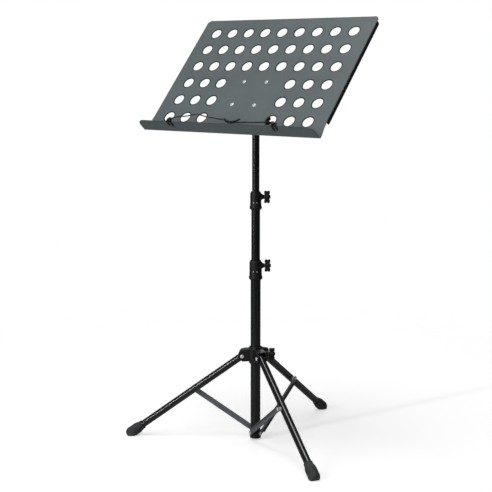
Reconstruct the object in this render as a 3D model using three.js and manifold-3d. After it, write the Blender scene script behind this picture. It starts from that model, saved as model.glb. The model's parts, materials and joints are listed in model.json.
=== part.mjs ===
// A folding sheet-music stand: a punched sheet-steel desk with a shelf, a column of three
// telescoping tubes with two clamp collars, and a tripod that folds up along the column.
// Millimetres, +Z up. The desk faces -Y. The origin is on the floor, under the middle of the
// whole stand's outline.
import * as THREE from "three";
import { mergeVertices } from "three/addons/utils/BufferGeometryUtils.js";
import Module from "manifold-3d";

const wasm = await Module();
wasm.setup();

// ---- Driving dimensions -------------------------------------------------------------------
const GAP = 0.3; // clearance between neighbouring pieces
const SIDES = 16; // flats round a turned piece
const FINE_SIDES = 10; // flats round a pin, rivet or wire

// Column
const OUTER_TUBE_RADIUS = 11;
const TUBE_WALL = 1;
const TUBE_CLEARANCE = 0.5; // all round, between a tube and the next one in it
const OUTER_TUBE_LENGTH = 366;
const MIDDLE_TUBE_LENGTH = 350;
const UPPER_TUBE_LENGTH = 346;
const MIDDLE_TUBE_SHOWN = 111; // between the two collars
const UPPER_TUBE_SHOWN = 128; // between the upper collar and the tilt head

// Clamp collars, and the liner ring that each holds
const COLLAR_WALL = 2.6; // over the tube that the collar is pressed on
const COLLAR_RIM = 1.3; // step of the rim over the collar's body
const COLLAR_RIM_HEIGHT = 5;
const COLLAR_HEAD = 20; // above the end of the tube that it is pressed on
const COLLAR_LIP = 3; // thickness of the top lip that traps the liner
const COLLAR_SHOULDER = 1.4; // ledge between the tube end and the liner
const LOWER_COLLAR_SKIRT = 24; // below the end of the outer tube
const UPPER_COLLAR_SKIRT = 20.5; // below the end of the middle tube
const COLLAR_CHAMFER = 3;
const LINER_WALL = 1.2;
const LINER_SLIT = 2.5;
const CLAMP_HEIGHT = 8; // of the clamp screw over the tube end
const NOSE_RADIUS = 4.8; // end of the boss that the clamp screw goes through
const NOSE_REACH = 6; // of the boss beyond the collar's body
const CLAMP_TURN = 33.2; // degrees from +X to the clamp knobs

// Clamp screws and wing knobs
const SCREW_RADIUS = 2.5;
const CLAMP_WING_SPAN = 27.5;
const CLAMP_WING_WIDTH = 12.5; // along the screw
const WING_THICKNESS = 7;
const KNOB_HUB_RADIUS = 5.4;
const KNOB_NOSE = 1.2; // the hub stands out of the wings by this
const SCREW_IN_KNOB = 9;

// Tilt head at the top of the upper tube
const HEAD_WIDTH = 20; // between the bracket's ears, washers not counted
const HEAD_RADIUS = 11.5;
const HEAD_SOCKET = 16; // length of the sleeve over the tube
const TILT_AXIS_OVER_TUBE = 14; // from the tube's end to the tilt axis
const BOLT_RADIUS = 3;
const BOLT_HEAD_RADIUS = 5.8;
const BOLT_HEAD_THICKNESS = 4;
const WASHER_RADIUS = 10.5;
const WASHER_THICKNESS = 1.5;
const SLEEVE_WALL = 2.6;
const SLEEVE_IN_HEAD = 2; // the sleeve runs on past the tube's end by this
const TILT_WING_SPAN = 29;
const TILT_WING_WIDTH = 17;
const TILT_KNOB_STEM = 6; // between the bracket's ear and the wings

// Desk
const DESK_LEAN = 41.6; // degrees back from upright
const DESK_WIDTH = 468;
const DESK_ABOVE_AXIS = 240; // along the desk, from the tilt axis to the top edge
const DESK_BELOW_AXIS = 86.5; // to the underside of the shelf
const DESK_STANDOFF = 52.5; // from the tilt axis to the front face
const SHEET = 1.2;
const CORNER_RADIUS = 12;
const FLANGE_DEPTH = 8; // of the edges turned back
const FLANGE_END_ABOVE_SHELF = 40;
const TAB_WIDENING = 3; // of the flat sheet below the flanges, each side
const BEND_RADIUS = 4.5; // outside of the fold between desk and shelf
const SHELF_DEPTH = 35;
const SHELF_CORNER_RADIUS = 17;
const HOLE_RADIUS = 12.4;
const HOLE_PITCH_X = 47;
const HOLE_PITCH_Z = 48.8;
const HOLE_ROWS = 6;
const FULL_ROWS = 3; // rows that run right across
const HOLE_COLUMNS_EACH_SIDE = 4;
const FIRST_COLUMN_IN_SHORT_ROWS = 2; // the middle of the lower rows has no holes
const TOP_ROW_BELOW_EDGE = 41.5;
const HOLE_SIDES = 14;

// Desk bracket and its rivets
const BRACKET_SHEET = 2;
const BRACKET_HALF_WIDTH = 40;
const EAR_RADIUS = 12;
const RIVET_SPACING_X = 60.6;
const RIVET_SPACING_Z = 63.5;
const RIVET_CENTRE_ABOVE_AXIS = 24.7;
const BRACKET_MARGIN = 9; // from a rivet to the bracket's edge
const RIVET_RADIUS = 2.2;
const RIVET_HEAD_RADIUS = 4.5;
const RIVET_HEAD_THICKNESS = 1.6;

// Page arms and their clips on the shelf edge
const ARM_PIVOT_X = 139;
const ARM_PIVOT_ABOVE_SHELF = 3; // over the shelf's top face
const WIRE_RADIUS = 1.25;
const WIRE_SIDES = 8;
const EYE_RADIUS = 4.6;
const EYE_THICKNESS = 2.5;
const STUD_RADIUS = 1.8;
const STUD_HEAD_RADIUS = 3.4;
const STUD_HEAD_THICKNESS = 1.2;
const CLIP_THICKNESS = 2;
const CLIP_WIDTH = 12.5;
const PRONG_WIDTH = 3.2;
const PRONG_LENGTH = 15;
const TONGUE_LENGTH = 7;
// Each arm's centre line from its eye: along the shelf, up, and back towards the desk.
const LEFT_ARM = [
  [3.8, 0.6, 0],
  [10, 6, 1.5],
  [34, 17, 9.5],
  [51, 25.5, 14],
  [83, 22.5, 17],
  [107, 21.3, 20],
  [127, 20.3, 22],
  [146, 17.5, 23.5],
  [156, 19, 24],
  [166, 25.5, 24],
];
const RIGHT_ARM = [
  [3.8, 0.6, 0],
  [12, 3.5, 1.5],
  [30, 6.5, 7],
  [53, 9.5, 12],
  [97, 11.5, 17],
  [120, 11.2, 19],
  [132, 11.6, 19.5],
  [141, 15, 19.5],
  [148, 21.5, 19.5],
];

// Tripod
const TRIPOD_TURN = -26.8; // degrees from +X to the right-hand leg
const LEG_NAMES = ["right", "back", "left"];
const LEG_SLOPE = 36.2; // degrees below level, opened
const LEG_RADIUS = 8;
const LEG_END_BEHIND_PIN = 9; // of the tube above its hub pin
const LEG_PIN_TO_TIP = 305;
const SOLE_CUT = 5.9; // worn off the foot's lowest edge
const HUB_PIN_BEYOND_SLEEVE = 14.4;
const PIN_RADIUS = 2.4;
const PIN_HEAD_RADIUS = 4.2;
const PIN_HEAD_THICKNESS = 1.6;
const HUB_WALL = 3.6;
const HUB_BOTTOM_BELOW_PIN = 17;
const HUB_TOP_ABOVE_PIN = 22;
const HOOD_SHEET = 2.4;
const HOOD_ROOF_ABOVE_PIN = 13; // underside
const HOOD_BELOW_PIN = 11;
const HOOD_BEYOND_PIN = 9;
const CLAMP_OVER_PIN = 5; // height of the hub's clamp screw over the hub pins
const HUB_NOSE_BEYOND_SLEEVE = 13.4;
const HUB_SCREW_SHOWN = 2.2;

// Feet
const FOOT_NECK_BEFORE_TIP = 24; // the rubber starts this far before the leg's end
const FOOT_NECK_RADIUS = 9.6;
const FOOT_RADIUS = 12.8;
const FOOT_TIP_RADIUS = 8.5;
const FOOT_BEYOND_TIP = 19;

// Braces
const BRACE_PIN_ALONG_LEG = 139.7; // from the hub pin
const BRACE_FOOT_HEIGHT = 14.6; // of the lower brace pins
const BRACE_CLEARANCE = 0.4; // from the bottom bracket's flange to the brace's near face
const BRACE_SHEET = 1.2;
const BRACE_WIDTH = 11;
const BRACE_FLANGE = 3.4;
const BRACE_FLAT_END = 11; // without flanges, each end
const BRACE_PIN_RADIUS = 2;
const BRACE_PIN_HEAD_RADIUS = 3.8;
const BRACE_PIN_HEAD_THICKNESS = 1.6;
const BUSH_RADIUS = 4.6;
const BUSH_SHORTEST = 1.4;

// Bottom bracket
const BASE_CLEARANCE = 3.5; // over the floor
const BASE_OVER_TUBE = 0.6; // radius of the bracket over the tube's
const BASE_FLANGE_OVER_TUBE = 1.3;
const BASE_FLANGE_THICKNESS = 3;
const BASE_TOP = 22;
const SPIGOT_LENGTH = 20;
const BASE_BOSS_RADIUS = 5.2;
const BASE_PIN_DEPTH = 6.5; // of the lower brace pins in the bracket

// Plugs in the lower ends of the sliding tubes
const PLUG_FLANGE = 4;
const PLUG_SPIGOT = 12;

// ---- Derived places -----------------------------------------------------------------------
const DEGREE = Math.PI / 180;
const MIDDLE_TUBE_RADIUS = OUTER_TUBE_RADIUS - TUBE_WALL - TUBE_CLEARANCE;
const UPPER_TUBE_RADIUS = MIDDLE_TUBE_RADIUS - TUBE_WALL - TUBE_CLEARANCE;
const OUTER_TUBE_FOOT = BASE_TOP + GAP;
const OUTER_TUBE_TOP = OUTER_TUBE_FOOT + OUTER_TUBE_LENGTH;
const MIDDLE_TUBE_TOP = OUTER_TUBE_TOP + COLLAR_HEAD + MIDDLE_TUBE_SHOWN + UPPER_COLLAR_SKIRT;
const HEAD_FOOT = MIDDLE_TUBE_TOP + COLLAR_HEAD + UPPER_TUBE_SHOWN;
const UPPER_TUBE_TOP = HEAD_FOOT + HEAD_SOCKET;
const TILT_AXIS_HEIGHT = UPPER_TUBE_TOP + TILT_AXIS_OVER_TUBE;
const EAR_INNER = HEAD_WIDTH / 2 + WASHER_THICKNESS + 2 * GAP;
const SHELF_TOP = -DESK_BELOW_AXIS + SHEET;
const SHELF_FRONT = -DESK_STANDOFF - SHELF_DEPTH;
const DESK_BACK = -DESK_STANDOFF + SHEET;
const LEG_RISE = Math.sin(LEG_SLOPE * DEGREE);
const LEG_RUN = Math.cos(LEG_SLOPE * DEGREE);
const SLEEVE_RADIUS = OUTER_TUBE_RADIUS + HUB_WALL;
const HUB_PIN_REACH = SLEEVE_RADIUS + HUB_PIN_BEYOND_SLEEVE; // from the column's axis
const HUB_NOSE_REACH = SLEEVE_RADIUS + HUB_NOSE_BEYOND_SLEEVE;
const HUB_PIN_HEIGHT =
  LEG_RISE * (LEG_PIN_TO_TIP + FOOT_BEYOND_TIP) + LEG_RUN * FOOT_TIP_RADIUS - SOLE_CUT;
const BASE_RADIUS = OUTER_TUBE_RADIUS + BASE_OVER_TUBE;
const BASE_FLANGE_RADIUS = OUTER_TUBE_RADIUS + BASE_FLANGE_OVER_TUBE;
// From the leg's middle plane to the brace's near face, clear of the bracket and the leg's bush.
const BRACE_OFFSET = Math.max(
  BASE_FLANGE_RADIUS + BRACE_CLEARANCE,
  LEG_RADIUS + BUSH_SHORTEST + 2 * GAP,
);

// ---- Materials ----------------------------------------------------------------------------
const paint = (color, roughness, metalness) =>
  new THREE.MeshStandardMaterial({ color, roughness, metalness });
const slateEnamel = paint(0x66706f, 0.5, 0.3);
const blackEnamel = paint(0x15191a, 0.3, 0.4);
const blackPlastic = paint(0x1a1d1e, 0.55, 0);
const greySteel = paint(0x4a4d50, 0.45, 0.6);
const brightSteel = paint(0xc9ccd0, 0.25, 1);
const yellowZinc = paint(0xc8a860, 0.35, 1);
const greyRubber = paint(0x34383a, 0.85, 0);
const paleNylon = paint(0xd9d6cc, 0.6, 0);

// ---- Small tools --------------------------------------------------------------------------
// A closed geometry as a solid that can be joined and cut.
function solid(geometry) {
  const plain = geometry.index ? geometry.toNonIndexed() : geometry.clone();
  plain.deleteAttribute("normal");
  plain.deleteAttribute("uv");
  const merged = mergeVertices(plain, 1e-4);
  const corners = merged.index.array;
  const triangles = [];
  for (let i = 0; i < corners.length; i += 3) {
    const [a, b, c] = [corners[i], corners[i + 1], corners[i + 2]];
    if (a !== b && b !== c && c !== a) triangles.push(a, b, c);
  }
  const vertProperties = new Float32Array(merged.attributes.position.array);
  const triVerts = new Uint32Array(triangles);
  return new wasm.Manifold(new wasm.Mesh({ numProp: 3, vertProperties, triVerts }));
}

function join(first, ...others) {
  return others.reduce((whole, other) => whole.add(other), first);
}

function cut(whole, ...tools) {
  return tools.reduce((rest, tool) => rest.subtract(tool), whole);
}

// A named mesh of a solid.
function piece(name, body, material) {
  const made = body.getMesh();
  const geometry = new THREE.BufferGeometry();
  geometry.setAttribute("position", new THREE.BufferAttribute(made.vertProperties, 3));
  geometry.setIndex(new THREE.BufferAttribute(made.triVerts, 1));
  geometry.computeVertexNormals();
  const mesh = new THREE.Mesh(geometry, material);
  mesh.name = name;
  return mesh;
}

// A solid turned about Z from a closed profile of [radius, z].
function turnedGeometry(profile, sides) {
  const points = profile.map(([radius, z]) => new THREE.Vector2(radius, z));
  if (THREE.ShapeUtils.area(points) < 0) points.reverse();
  points.push(points[0].clone());
  return new THREE.LatheGeometry(points, sides).rotateX(Math.PI / 2);
}

function turned(profile, sides = SIDES) {
  return solid(turnedGeometry(profile, sides));
}

// A solid turned about an axis that leaves the origin along a direction of X or Y.
function turnedAlongX(profile, sides = SIDES) {
  return solid(turnedGeometry(profile, sides).rotateY(Math.PI / 2));
}

function turnedAlongY(profile, sides = SIDES) {
  return solid(turnedGeometry(profile, sides).rotateX(-Math.PI / 2));
}

function rodProfile(radius, from, to) {
  return [[0, from], [radius, from], [radius, to], [0, to]];
}

function pipeProfile(bore, radius, from, to) {
  return [[bore, from], [radius, from], [radius, to], [bore, to]];
}

function block(x, y, z) {
  const geometry = new THREE.BoxGeometry(x[1] - x[0], y[1] - y[0], z[1] - z[0]);
  return solid(geometry.translate((x[0] + x[1]) / 2, (y[0] + y[1]) / 2, (z[0] + z[1]) / 2));
}

function outline(points) {
  return new THREE.Shape(points.map(([a, b]) => new THREE.Vector2(a, b)));
}

const PLAIN_EXTRUSION = { bevelEnabled: false, curveSegments: 6 };

// An outline in X and Z, given its thickness along Y from yFrom to yTo.
function slabAcrossY(shape, yFrom, yTo) {
  const settings = { ...PLAIN_EXTRUSION, depth: yTo - yFrom };
  const geometry = new THREE.ExtrudeGeometry(shape, settings);
  return solid(geometry.rotateX(Math.PI / 2).translate(0, yTo, 0));
}

// An outline in Y and Z, given its thickness along X from xFrom to xTo.
function slabAcrossX(shape, xFrom, xTo) {
  const settings = { ...PLAIN_EXTRUSION, depth: xTo - xFrom };
  const geometry = new THREE.ExtrudeGeometry(shape, settings);
  return solid(geometry.rotateX(Math.PI / 2).rotateZ(Math.PI / 2).translate(xFrom, 0, 0));
}

// An outline in X and Y, given its thickness along Z from zFrom to zTo.
function slabAcrossZ(shape, zFrom, zTo) {
  const settings = { ...PLAIN_EXTRUSION, depth: zTo - zFrom };
  return solid(new THREE.ExtrudeGeometry(shape, settings).translate(0, 0, zFrom));
}

function group(...children) {
  const made = new THREE.Group();
  made.add(...children);
  return made;
}

// ---- Clamp screws and knobs ---------------------------------------------------------------
// The knob's own frame: its screw lies along X, its foot is at x = 0 and its wings stand in Z.
function wings(stem, span, width) {
  const half = span / 2;
  const quarter = [
    [0.16, 0],
    [0.12, 0.32],
    [0, 0.58],
    [0, 0.84],
    [0.14, 1],
    [0.38, 0.97],
    [0.5, 0.9],
  ];
  const upper = [...quarter, ...quarter.slice(0, -1).reverse().map(([x, z]) => [1 - x, z])];
  const lower = upper.slice(1, -1).reverse().map(([x, z]) => [x, -z]);
  const edge = [...upper, ...lower].map(([x, z]) => [stem + x * width, z * half]);
  return slabAcrossY(outline(edge), -WING_THICKNESS / 2, WING_THICKNESS / 2);
}

function wingKnob(name, stem, span, width, screwRadius) {
  const top = stem + width + KNOB_NOSE;
  const hub = turnedAlongX([
    [0, 0],
    [KNOB_HUB_RADIUS, 0],
    [KNOB_HUB_RADIUS, stem + width * 0.75],
    [KNOB_HUB_RADIUS * 0.6, top],
    [0, top],
  ]);
  const bore = turnedAlongX(rodProfile(screwRadius + GAP, -1, SCREW_IN_KNOB + GAP), FINE_SIDES);
  return piece(name, cut(join(wings(stem, span, width), hub), bore), blackPlastic);
}

// A clamp screw from its tip to its end in the knob, along X.
function clampScrew(name, from, to, material) {
  return piece(name, turnedAlongX(rodProfile(SCREW_RADIUS, from, to), FINE_SIDES), material);
}

// A screw and knob at a height on the column, turned to the clamp side.
function clamp(prefix, height, screwTip, knobFoot, material) {
  const name = `${prefix}_clamp_knob`;
  const knob = wingKnob(name, 0, CLAMP_WING_SPAN, CLAMP_WING_WIDTH, SCREW_RADIUS);
  knob.position.x = knobFoot;
  const screw = clampScrew(`${prefix}_clamp_screw`, screwTip, knobFoot + SCREW_IN_KNOB, material);
  const made = group(screw, knob);
  made.position.z = height;
  made.rotation.z = CLAMP_TURN * DEGREE;
  return made;
}

// ---- Collars ------------------------------------------------------------------------------
// Heights in a collar's own frame count from the end of the tube that it is pressed on.
const LINER_FOOT = COLLAR_SHOULDER + GAP;
const LINER_TOP = COLLAR_HEAD - COLLAR_LIP - GAP;

function collar(name, tubeRadius, slidingRadius, skirt) {
  const body = tubeRadius + COLLAR_WALL;
  const rim = body + COLLAR_RIM;
  const tubeBore = tubeRadius + GAP;
  const slidingBore = slidingRadius + GAP;
  const linerBore = slidingBore + LINER_WALL + GAP;
  const rimFoot = -skirt + COLLAR_CHAMFER;
  const profile = [
    [tubeBore, -skirt],
    [tubeBore + 1, -skirt],
    [rim, rimFoot],
    [rim, rimFoot + COLLAR_RIM_HEIGHT],
    [body, rimFoot + COLLAR_RIM_HEIGHT + 1],
    [body, COLLAR_HEAD - COLLAR_CHAMFER * 1.6],
    [slidingBore + 1.4, COLLAR_HEAD],
    [slidingBore, COLLAR_HEAD],
    [slidingBore, LINER_TOP + GAP],
    [linerBore, LINER_TOP + GAP],
    [linerBore, COLLAR_SHOULDER],
    [slidingBore, COLLAR_SHOULDER],
    [slidingBore, GAP],
    [tubeBore, GAP],
  ];
  const nose = body + NOSE_REACH;
  const boss = turnedAlongX([
    [0, linerBore + 0.6],
    [NOSE_RADIUS * 1.75, linerBore + 0.6],
    [NOSE_RADIUS * 1.5, body + 0.5],
    [NOSE_RADIUS, nose - 2],
    [NOSE_RADIUS, nose],
    [0, nose],
  ]).translate([0, 0, CLAMP_HEIGHT]);
  const fin = slabAcrossY(
    outline([
      [linerBore + 0.6, CLAMP_HEIGHT],
      [nose - 2, CLAMP_HEIGHT],
      [nose - 2, CLAMP_HEIGHT + NOSE_RADIUS * 0.8],
      [body - 1, COLLAR_HEAD - COLLAR_CHAMFER * 1.6],
      [linerBore + 0.6, COLLAR_HEAD - COLLAR_CHAMFER * 1.6],
    ]),
    -NOSE_RADIUS * 0.8,
    NOSE_RADIUS * 0.8,
  );
  const screwHole = turnedAlongX(rodProfile(SCREW_RADIUS + GAP, linerBore - 1, nose + 1), FINE_SIDES);
  const shell = join(turned(profile), boss, fin);
  const made = piece(name, cut(shell, screwHole.translate([0, 0, CLAMP_HEIGHT])), blackPlastic);
  made.rotation.z = CLAMP_TURN * DEGREE;
  return made;
}

// The split ring between a collar's clamp screw and the tube that slides in it.
function liner(name, slidingRadius) {
  const bore = slidingRadius + GAP;
  const ring = turned(pipeProfile(bore, bore + LINER_WALL, LINER_FOOT, LINER_TOP));
  const slit = block([-2 * bore, 0], [-LINER_SLIT / 2, LINER_SLIT / 2], [-1, COLLAR_HEAD]);
  const made = piece(name, cut(ring, slit), paleNylon);
  made.rotation.z = CLAMP_TURN * DEGREE;
  return made;
}

// A collar with its liner and clamp, on the end of a tube at tubeTop.
function collarSet(prefix, tubeTop, tubeRadius, slidingRadius, skirt) {
  const linerOutside = slidingRadius + GAP + LINER_WALL;
  const nose = tubeRadius + COLLAR_WALL + NOSE_REACH;
  const made = group(
    collar(`${prefix}_collar`, tubeRadius, slidingRadius, skirt),
    liner(`${prefix}_liner`, slidingRadius),
    clamp(prefix, CLAMP_HEIGHT, linerOutside + GAP, nose + GAP, brightSteel),
  );
  made.position.z = tubeTop;
  return made;
}

// ---- Tubes --------------------------------------------------------------------------------
function tube(name, radius, from, to) {
  return piece(name, turned(pipeProfile(radius - TUBE_WALL, radius, from, to)), blackEnamel);
}

// The guide plug pressed into the lower end of a sliding tube; its flange runs in the next tube.
function guidePlug(name, tubeRadius, runningBore, tubeFoot) {
  const spigot = tubeRadius - TUBE_WALL - GAP;
  const flange = runningBore - GAP;
  const profile = [
    [0, tubeFoot - GAP - PLUG_FLANGE],
    [flange, tubeFoot - GAP - PLUG_FLANGE],
    [flange, tubeFoot - GAP],
    [spigot, tubeFoot - GAP],
    [spigot, tubeFoot + PLUG_SPIGOT],
    [0, tubeFoot + PLUG_SPIGOT],
  ];
  return piece(name, turned(profile), blackPlastic);
}

function column() {
  const middleFoot = MIDDLE_TUBE_TOP - MIDDLE_TUBE_LENGTH;
  const upperFoot = UPPER_TUBE_TOP - UPPER_TUBE_LENGTH;
  const outerBore = OUTER_TUBE_RADIUS - TUBE_WALL;
  const middleBore = MIDDLE_TUBE_RADIUS - TUBE_WALL;
  return group(
    tube("outer_tube", OUTER_TUBE_RADIUS, OUTER_TUBE_FOOT, OUTER_TUBE_TOP),
    tube("middle_tube", MIDDLE_TUBE_RADIUS, middleFoot, MIDDLE_TUBE_TOP),
    tube("upper_tube", UPPER_TUBE_RADIUS, upperFoot, UPPER_TUBE_TOP),
    guidePlug("middle_tube_plug", MIDDLE_TUBE_RADIUS, outerBore, middleFoot),
    guidePlug("upper_tube_plug", UPPER_TUBE_RADIUS, middleBore, upperFoot),
    collarSet(
      "lower", OUTER_TUBE_TOP, OUTER_TUBE_RADIUS, MIDDLE_TUBE_RADIUS, LOWER_COLLAR_SKIRT),
    collarSet(
      "upper", MIDDLE_TUBE_TOP, MIDDLE_TUBE_RADIUS, UPPER_TUBE_RADIUS, UPPER_COLLAR_SKIRT),
  );
}

// ---- Tilt head ----------------------------------------------------------------------------
// Its own frame has the tilt axis along X through the origin.
function tiltHead() {
  const half = HEAD_WIDTH / 2;
  const sleeveRadius = UPPER_TUBE_RADIUS + GAP + SLEEVE_WALL;
  const sleeveTop = -TILT_AXIS_OVER_TUBE + SLEEVE_IN_HEAD;
  const bodyFoot = -TILT_AXIS_OVER_TUBE;
  const sleeveFoot = -TILT_AXIS_OVER_TUBE - HEAD_SOCKET;
  const side = new THREE.Shape();
  side.moveTo(-HEAD_RADIUS, bodyFoot);
  side.lineTo(HEAD_RADIUS, bodyFoot);
  side.lineTo(HEAD_RADIUS, 0);
  side.absarc(0, 0, HEAD_RADIUS, 0, Math.PI, false);
  const body = join(
    slabAcrossX(side, -half, half),
    turned([
      [0, sleeveFoot],
      [sleeveRadius - 1, sleeveFoot],
      [sleeveRadius, sleeveFoot + 1.5],
      [sleeveRadius, sleeveTop],
      [0, sleeveTop],
    ]),
  );
  const socket = turned(
    rodProfile(UPPER_TUBE_RADIUS + GAP, sleeveFoot - 1, -TILT_AXIS_OVER_TUBE + GAP),
  );
  const boltHole = turnedAlongX(rodProfile(BOLT_RADIUS + GAP, -half - 1, half + 1), FINE_SIDES);
  return piece("tilt_head", cut(body, socket, boltHole), blackPlastic);
}

function tiltWasher(name, from) {
  const profile = pipeProfile(BOLT_RADIUS + GAP, WASHER_RADIUS, from, from + WASHER_THICKNESS);
  return piece(name, turnedAlongX(profile), paleNylon);
}

function tiltBolt() {
  const earOuter = EAR_INNER + BRACKET_SHEET;
  const headFoot = -earOuter - GAP;
  const knobFoot = earOuter + GAP;
  const head = turnedAlongX(rodProfile(BOLT_HEAD_RADIUS, headFoot - BOLT_HEAD_THICKNESS, headFoot), 6);
  const shank = turnedAlongX(
    rodProfile(BOLT_RADIUS, headFoot - 1, knobFoot + SCREW_IN_KNOB), FINE_SIDES);
  return piece("tilt_bolt", join(head, shank), brightSteel);
}

function tiltKnob() {
  const knob = wingKnob("tilt_knob", TILT_KNOB_STEM, TILT_WING_SPAN, TILT_WING_WIDTH, BOLT_RADIUS);
  knob.position.x = EAR_INNER + BRACKET_SHEET + GAP;
  return knob;
}

// ---- Desk ---------------------------------------------------------------------------------
// The desk's own frame has the tilt axis along X through the origin, Z up along the sheet, and
// its front face at y = -DESK_STANDOFF.
function deskSheetOutline() {
  const half = DESK_WIDTH / 2;
  const tab = half + TAB_WIDENING;
  const flangeEnd = SHELF_TOP + FLANGE_END_ABOVE_SHELF;
  const foot = -DESK_BELOW_AXIS + BEND_RADIUS;
  const shape = new THREE.Shape();
  shape.moveTo(-tab, foot);
  shape.lineTo(tab, foot);
  shape.lineTo(tab, flangeEnd - TAB_WIDENING);
  shape.lineTo(half, flangeEnd);
  shape.lineTo(half, DESK_ABOVE_AXIS - CORNER_RADIUS);
  shape.absarc(half - CORNER_RADIUS, DESK_ABOVE_AXIS - CORNER_RADIUS, CORNER_RADIUS, 0,
    Math.PI / 2, false);
  shape.lineTo(-half + CORNER_RADIUS, DESK_ABOVE_AXIS);
  shape.absarc(-half + CORNER_RADIUS, DESK_ABOVE_AXIS - CORNER_RADIUS, CORNER_RADIUS,
    Math.PI / 2, Math.PI, false);
  shape.lineTo(-half, flangeEnd);
  shape.lineTo(-tab, flangeEnd - TAB_WIDENING);
  return shape;
}

function roundHole(x, z, radius, sides) {
  const corners = Array.from({ length: sides }, (_, i) => {
    const turn = (2 * Math.PI * i) / sides;
    return new THREE.Vector2(x + radius * Math.cos(turn), z + radius * Math.sin(turn));
  });
  return new THREE.Path(corners);
}

function punchedHoles() {
  const holes = [];
  for (let row = 0; row < HOLE_ROWS; row += 1) {
    const z = DESK_ABOVE_AXIS - TOP_ROW_BELOW_EDGE - row * HOLE_PITCH_Z;
    for (let column = -HOLE_COLUMNS_EACH_SIDE; column <= HOLE_COLUMNS_EACH_SIDE; column += 1) {
      const short = row >= FULL_ROWS && Math.abs(column) < FIRST_COLUMN_IN_SHORT_ROWS;
      if (!short) holes.push(roundHole(column * HOLE_PITCH_X, z, HOLE_RADIUS, HOLE_SIDES));
    }
  }
  return holes;
}

function rivetPlaces() {
  const places = [];
  for (const up of [1, -1])
    for (const across of [-1, 1])
      places.push([
        (across * RIVET_SPACING_X) / 2,
        RIVET_CENTRE_ABOVE_AXIS + (up * RIVET_SPACING_Z) / 2,
      ]);
  return places;
}

function shelf() {
  const half = DESK_WIDTH / 2 + TAB_WIDENING;
  const back = -DESK_STANDOFF - BEND_RADIUS;
  const corner = Math.min(SHELF_CORNER_RADIUS, back - SHELF_FRONT);
  const shape = new THREE.Shape();
  shape.moveTo(half, back + 1);
  shape.lineTo(-half, back + 1);
  shape.lineTo(-half, SHELF_FRONT + corner);
  shape.absarc(-half + corner, SHELF_FRONT + corner, corner, Math.PI, 1.5 * Math.PI, false);
  shape.lineTo(half - corner, SHELF_FRONT);
  shape.absarc(half - corner, SHELF_FRONT + corner, corner, 1.5 * Math.PI, 2 * Math.PI, false);
  return slabAcrossZ(shape, -DESK_BELOW_AXIS, SHELF_TOP);
}

// The fold between desk and shelf: a quarter ring with a short straight run each way.
function fold() {
  const half = DESK_WIDTH / 2 + TAB_WIDENING;
  const centreY = DESK_BACK - BEND_RADIUS;
  const centreZ = -DESK_BELOW_AXIS + BEND_RADIUS;
  const side = new THREE.Shape();
  side.moveTo(DESK_BACK, centreZ + 1);
  side.lineTo(-DESK_STANDOFF, centreZ + 1);
  side.lineTo(-DESK_STANDOFF, centreZ);
  side.absarc(centreY, centreZ, BEND_RADIUS - SHEET, 0, -Math.PI / 2, true);
  side.lineTo(-DESK_STANDOFF - BEND_RADIUS, SHELF_TOP);
  side.lineTo(-DESK_STANDOFF - BEND_RADIUS, -DESK_BELOW_AXIS);
  side.lineTo(centreY, -DESK_BELOW_AXIS);
  side.absarc(centreY, centreZ, BEND_RADIUS, -Math.PI / 2, 0, false);
  return slabAcrossX(side, -half, half);
}

function turnedBackEdges() {
  const half = DESK_WIDTH / 2;
  const flangeEnd = SHELF_TOP + FLANGE_END_ABOVE_SHELF;
  const sideTop = DESK_ABOVE_AXIS - CORNER_RADIUS;
  const y = [-DESK_STANDOFF + SHEET / 2, DESK_BACK + FLANGE_DEPTH];
  const across = half - CORNER_RADIUS;
  return [
    block([-half, -half + SHEET], y, [flangeEnd, sideTop]),
    block([half - SHEET, half], y, [flangeEnd, sideTop]),
    block([-across, across], y, [DESK_ABOVE_AXIS - SHEET, DESK_ABOVE_AXIS]),
  ];
}

function deskPlate() {
  const sheet = deskSheetOutline();
  sheet.holes = punchedHoles();
  for (const [x, z] of rivetPlaces())
    sheet.holes.push(roundHole(x, z, RIVET_RADIUS + GAP, FINE_SIDES));
  const flat = slabAcrossY(sheet, -DESK_STANDOFF, DESK_BACK);
  return piece("desk_plate", join(flat, fold(), shelf(), ...turnedBackEdges()), slateEnamel);
}

function deskBracket() {
  const plateFront = DESK_BACK + GAP;
  const plateBack = plateFront + BRACKET_SHEET;
  const top = RIVET_CENTRE_ABOVE_AXIS + RIVET_SPACING_Z / 2 + BRACKET_MARGIN;
  const foot = RIVET_CENTRE_ABOVE_AXIS - RIVET_SPACING_Z / 2 - BRACKET_MARGIN;
  const half = BRACKET_HALF_WIDTH;
  const plate = outline([[-half, foot], [half, foot], [half, top], [-half, top]]);
  plate.holes = rivetPlaces().map(([x, z]) => roundHole(x, z, RIVET_RADIUS + GAP, FINE_SIDES));
  const ear = new THREE.Shape();
  ear.moveTo(plateFront + 0.5, top - 6);
  ear.lineTo(plateFront + 0.5, foot);
  ear.lineTo(plateBack, foot);
  ear.absarc(0, 0, EAR_RADIUS, -0.55 * Math.PI, 0.4 * Math.PI, false);
  ear.lineTo(plateBack + 8, top - 6);
  ear.holes = [roundHole(0, 0, BOLT_RADIUS + GAP, FINE_SIDES)];
  const bracket = join(
    slabAcrossY(plate, plateFront, plateBack),
    slabAcrossX(ear, EAR_INNER, EAR_INNER + BRACKET_SHEET),
    slabAcrossX(ear, -EAR_INNER - BRACKET_SHEET, -EAR_INNER),
  );
  return piece("desk_bracket", bracket, blackEnamel);
}

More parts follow.
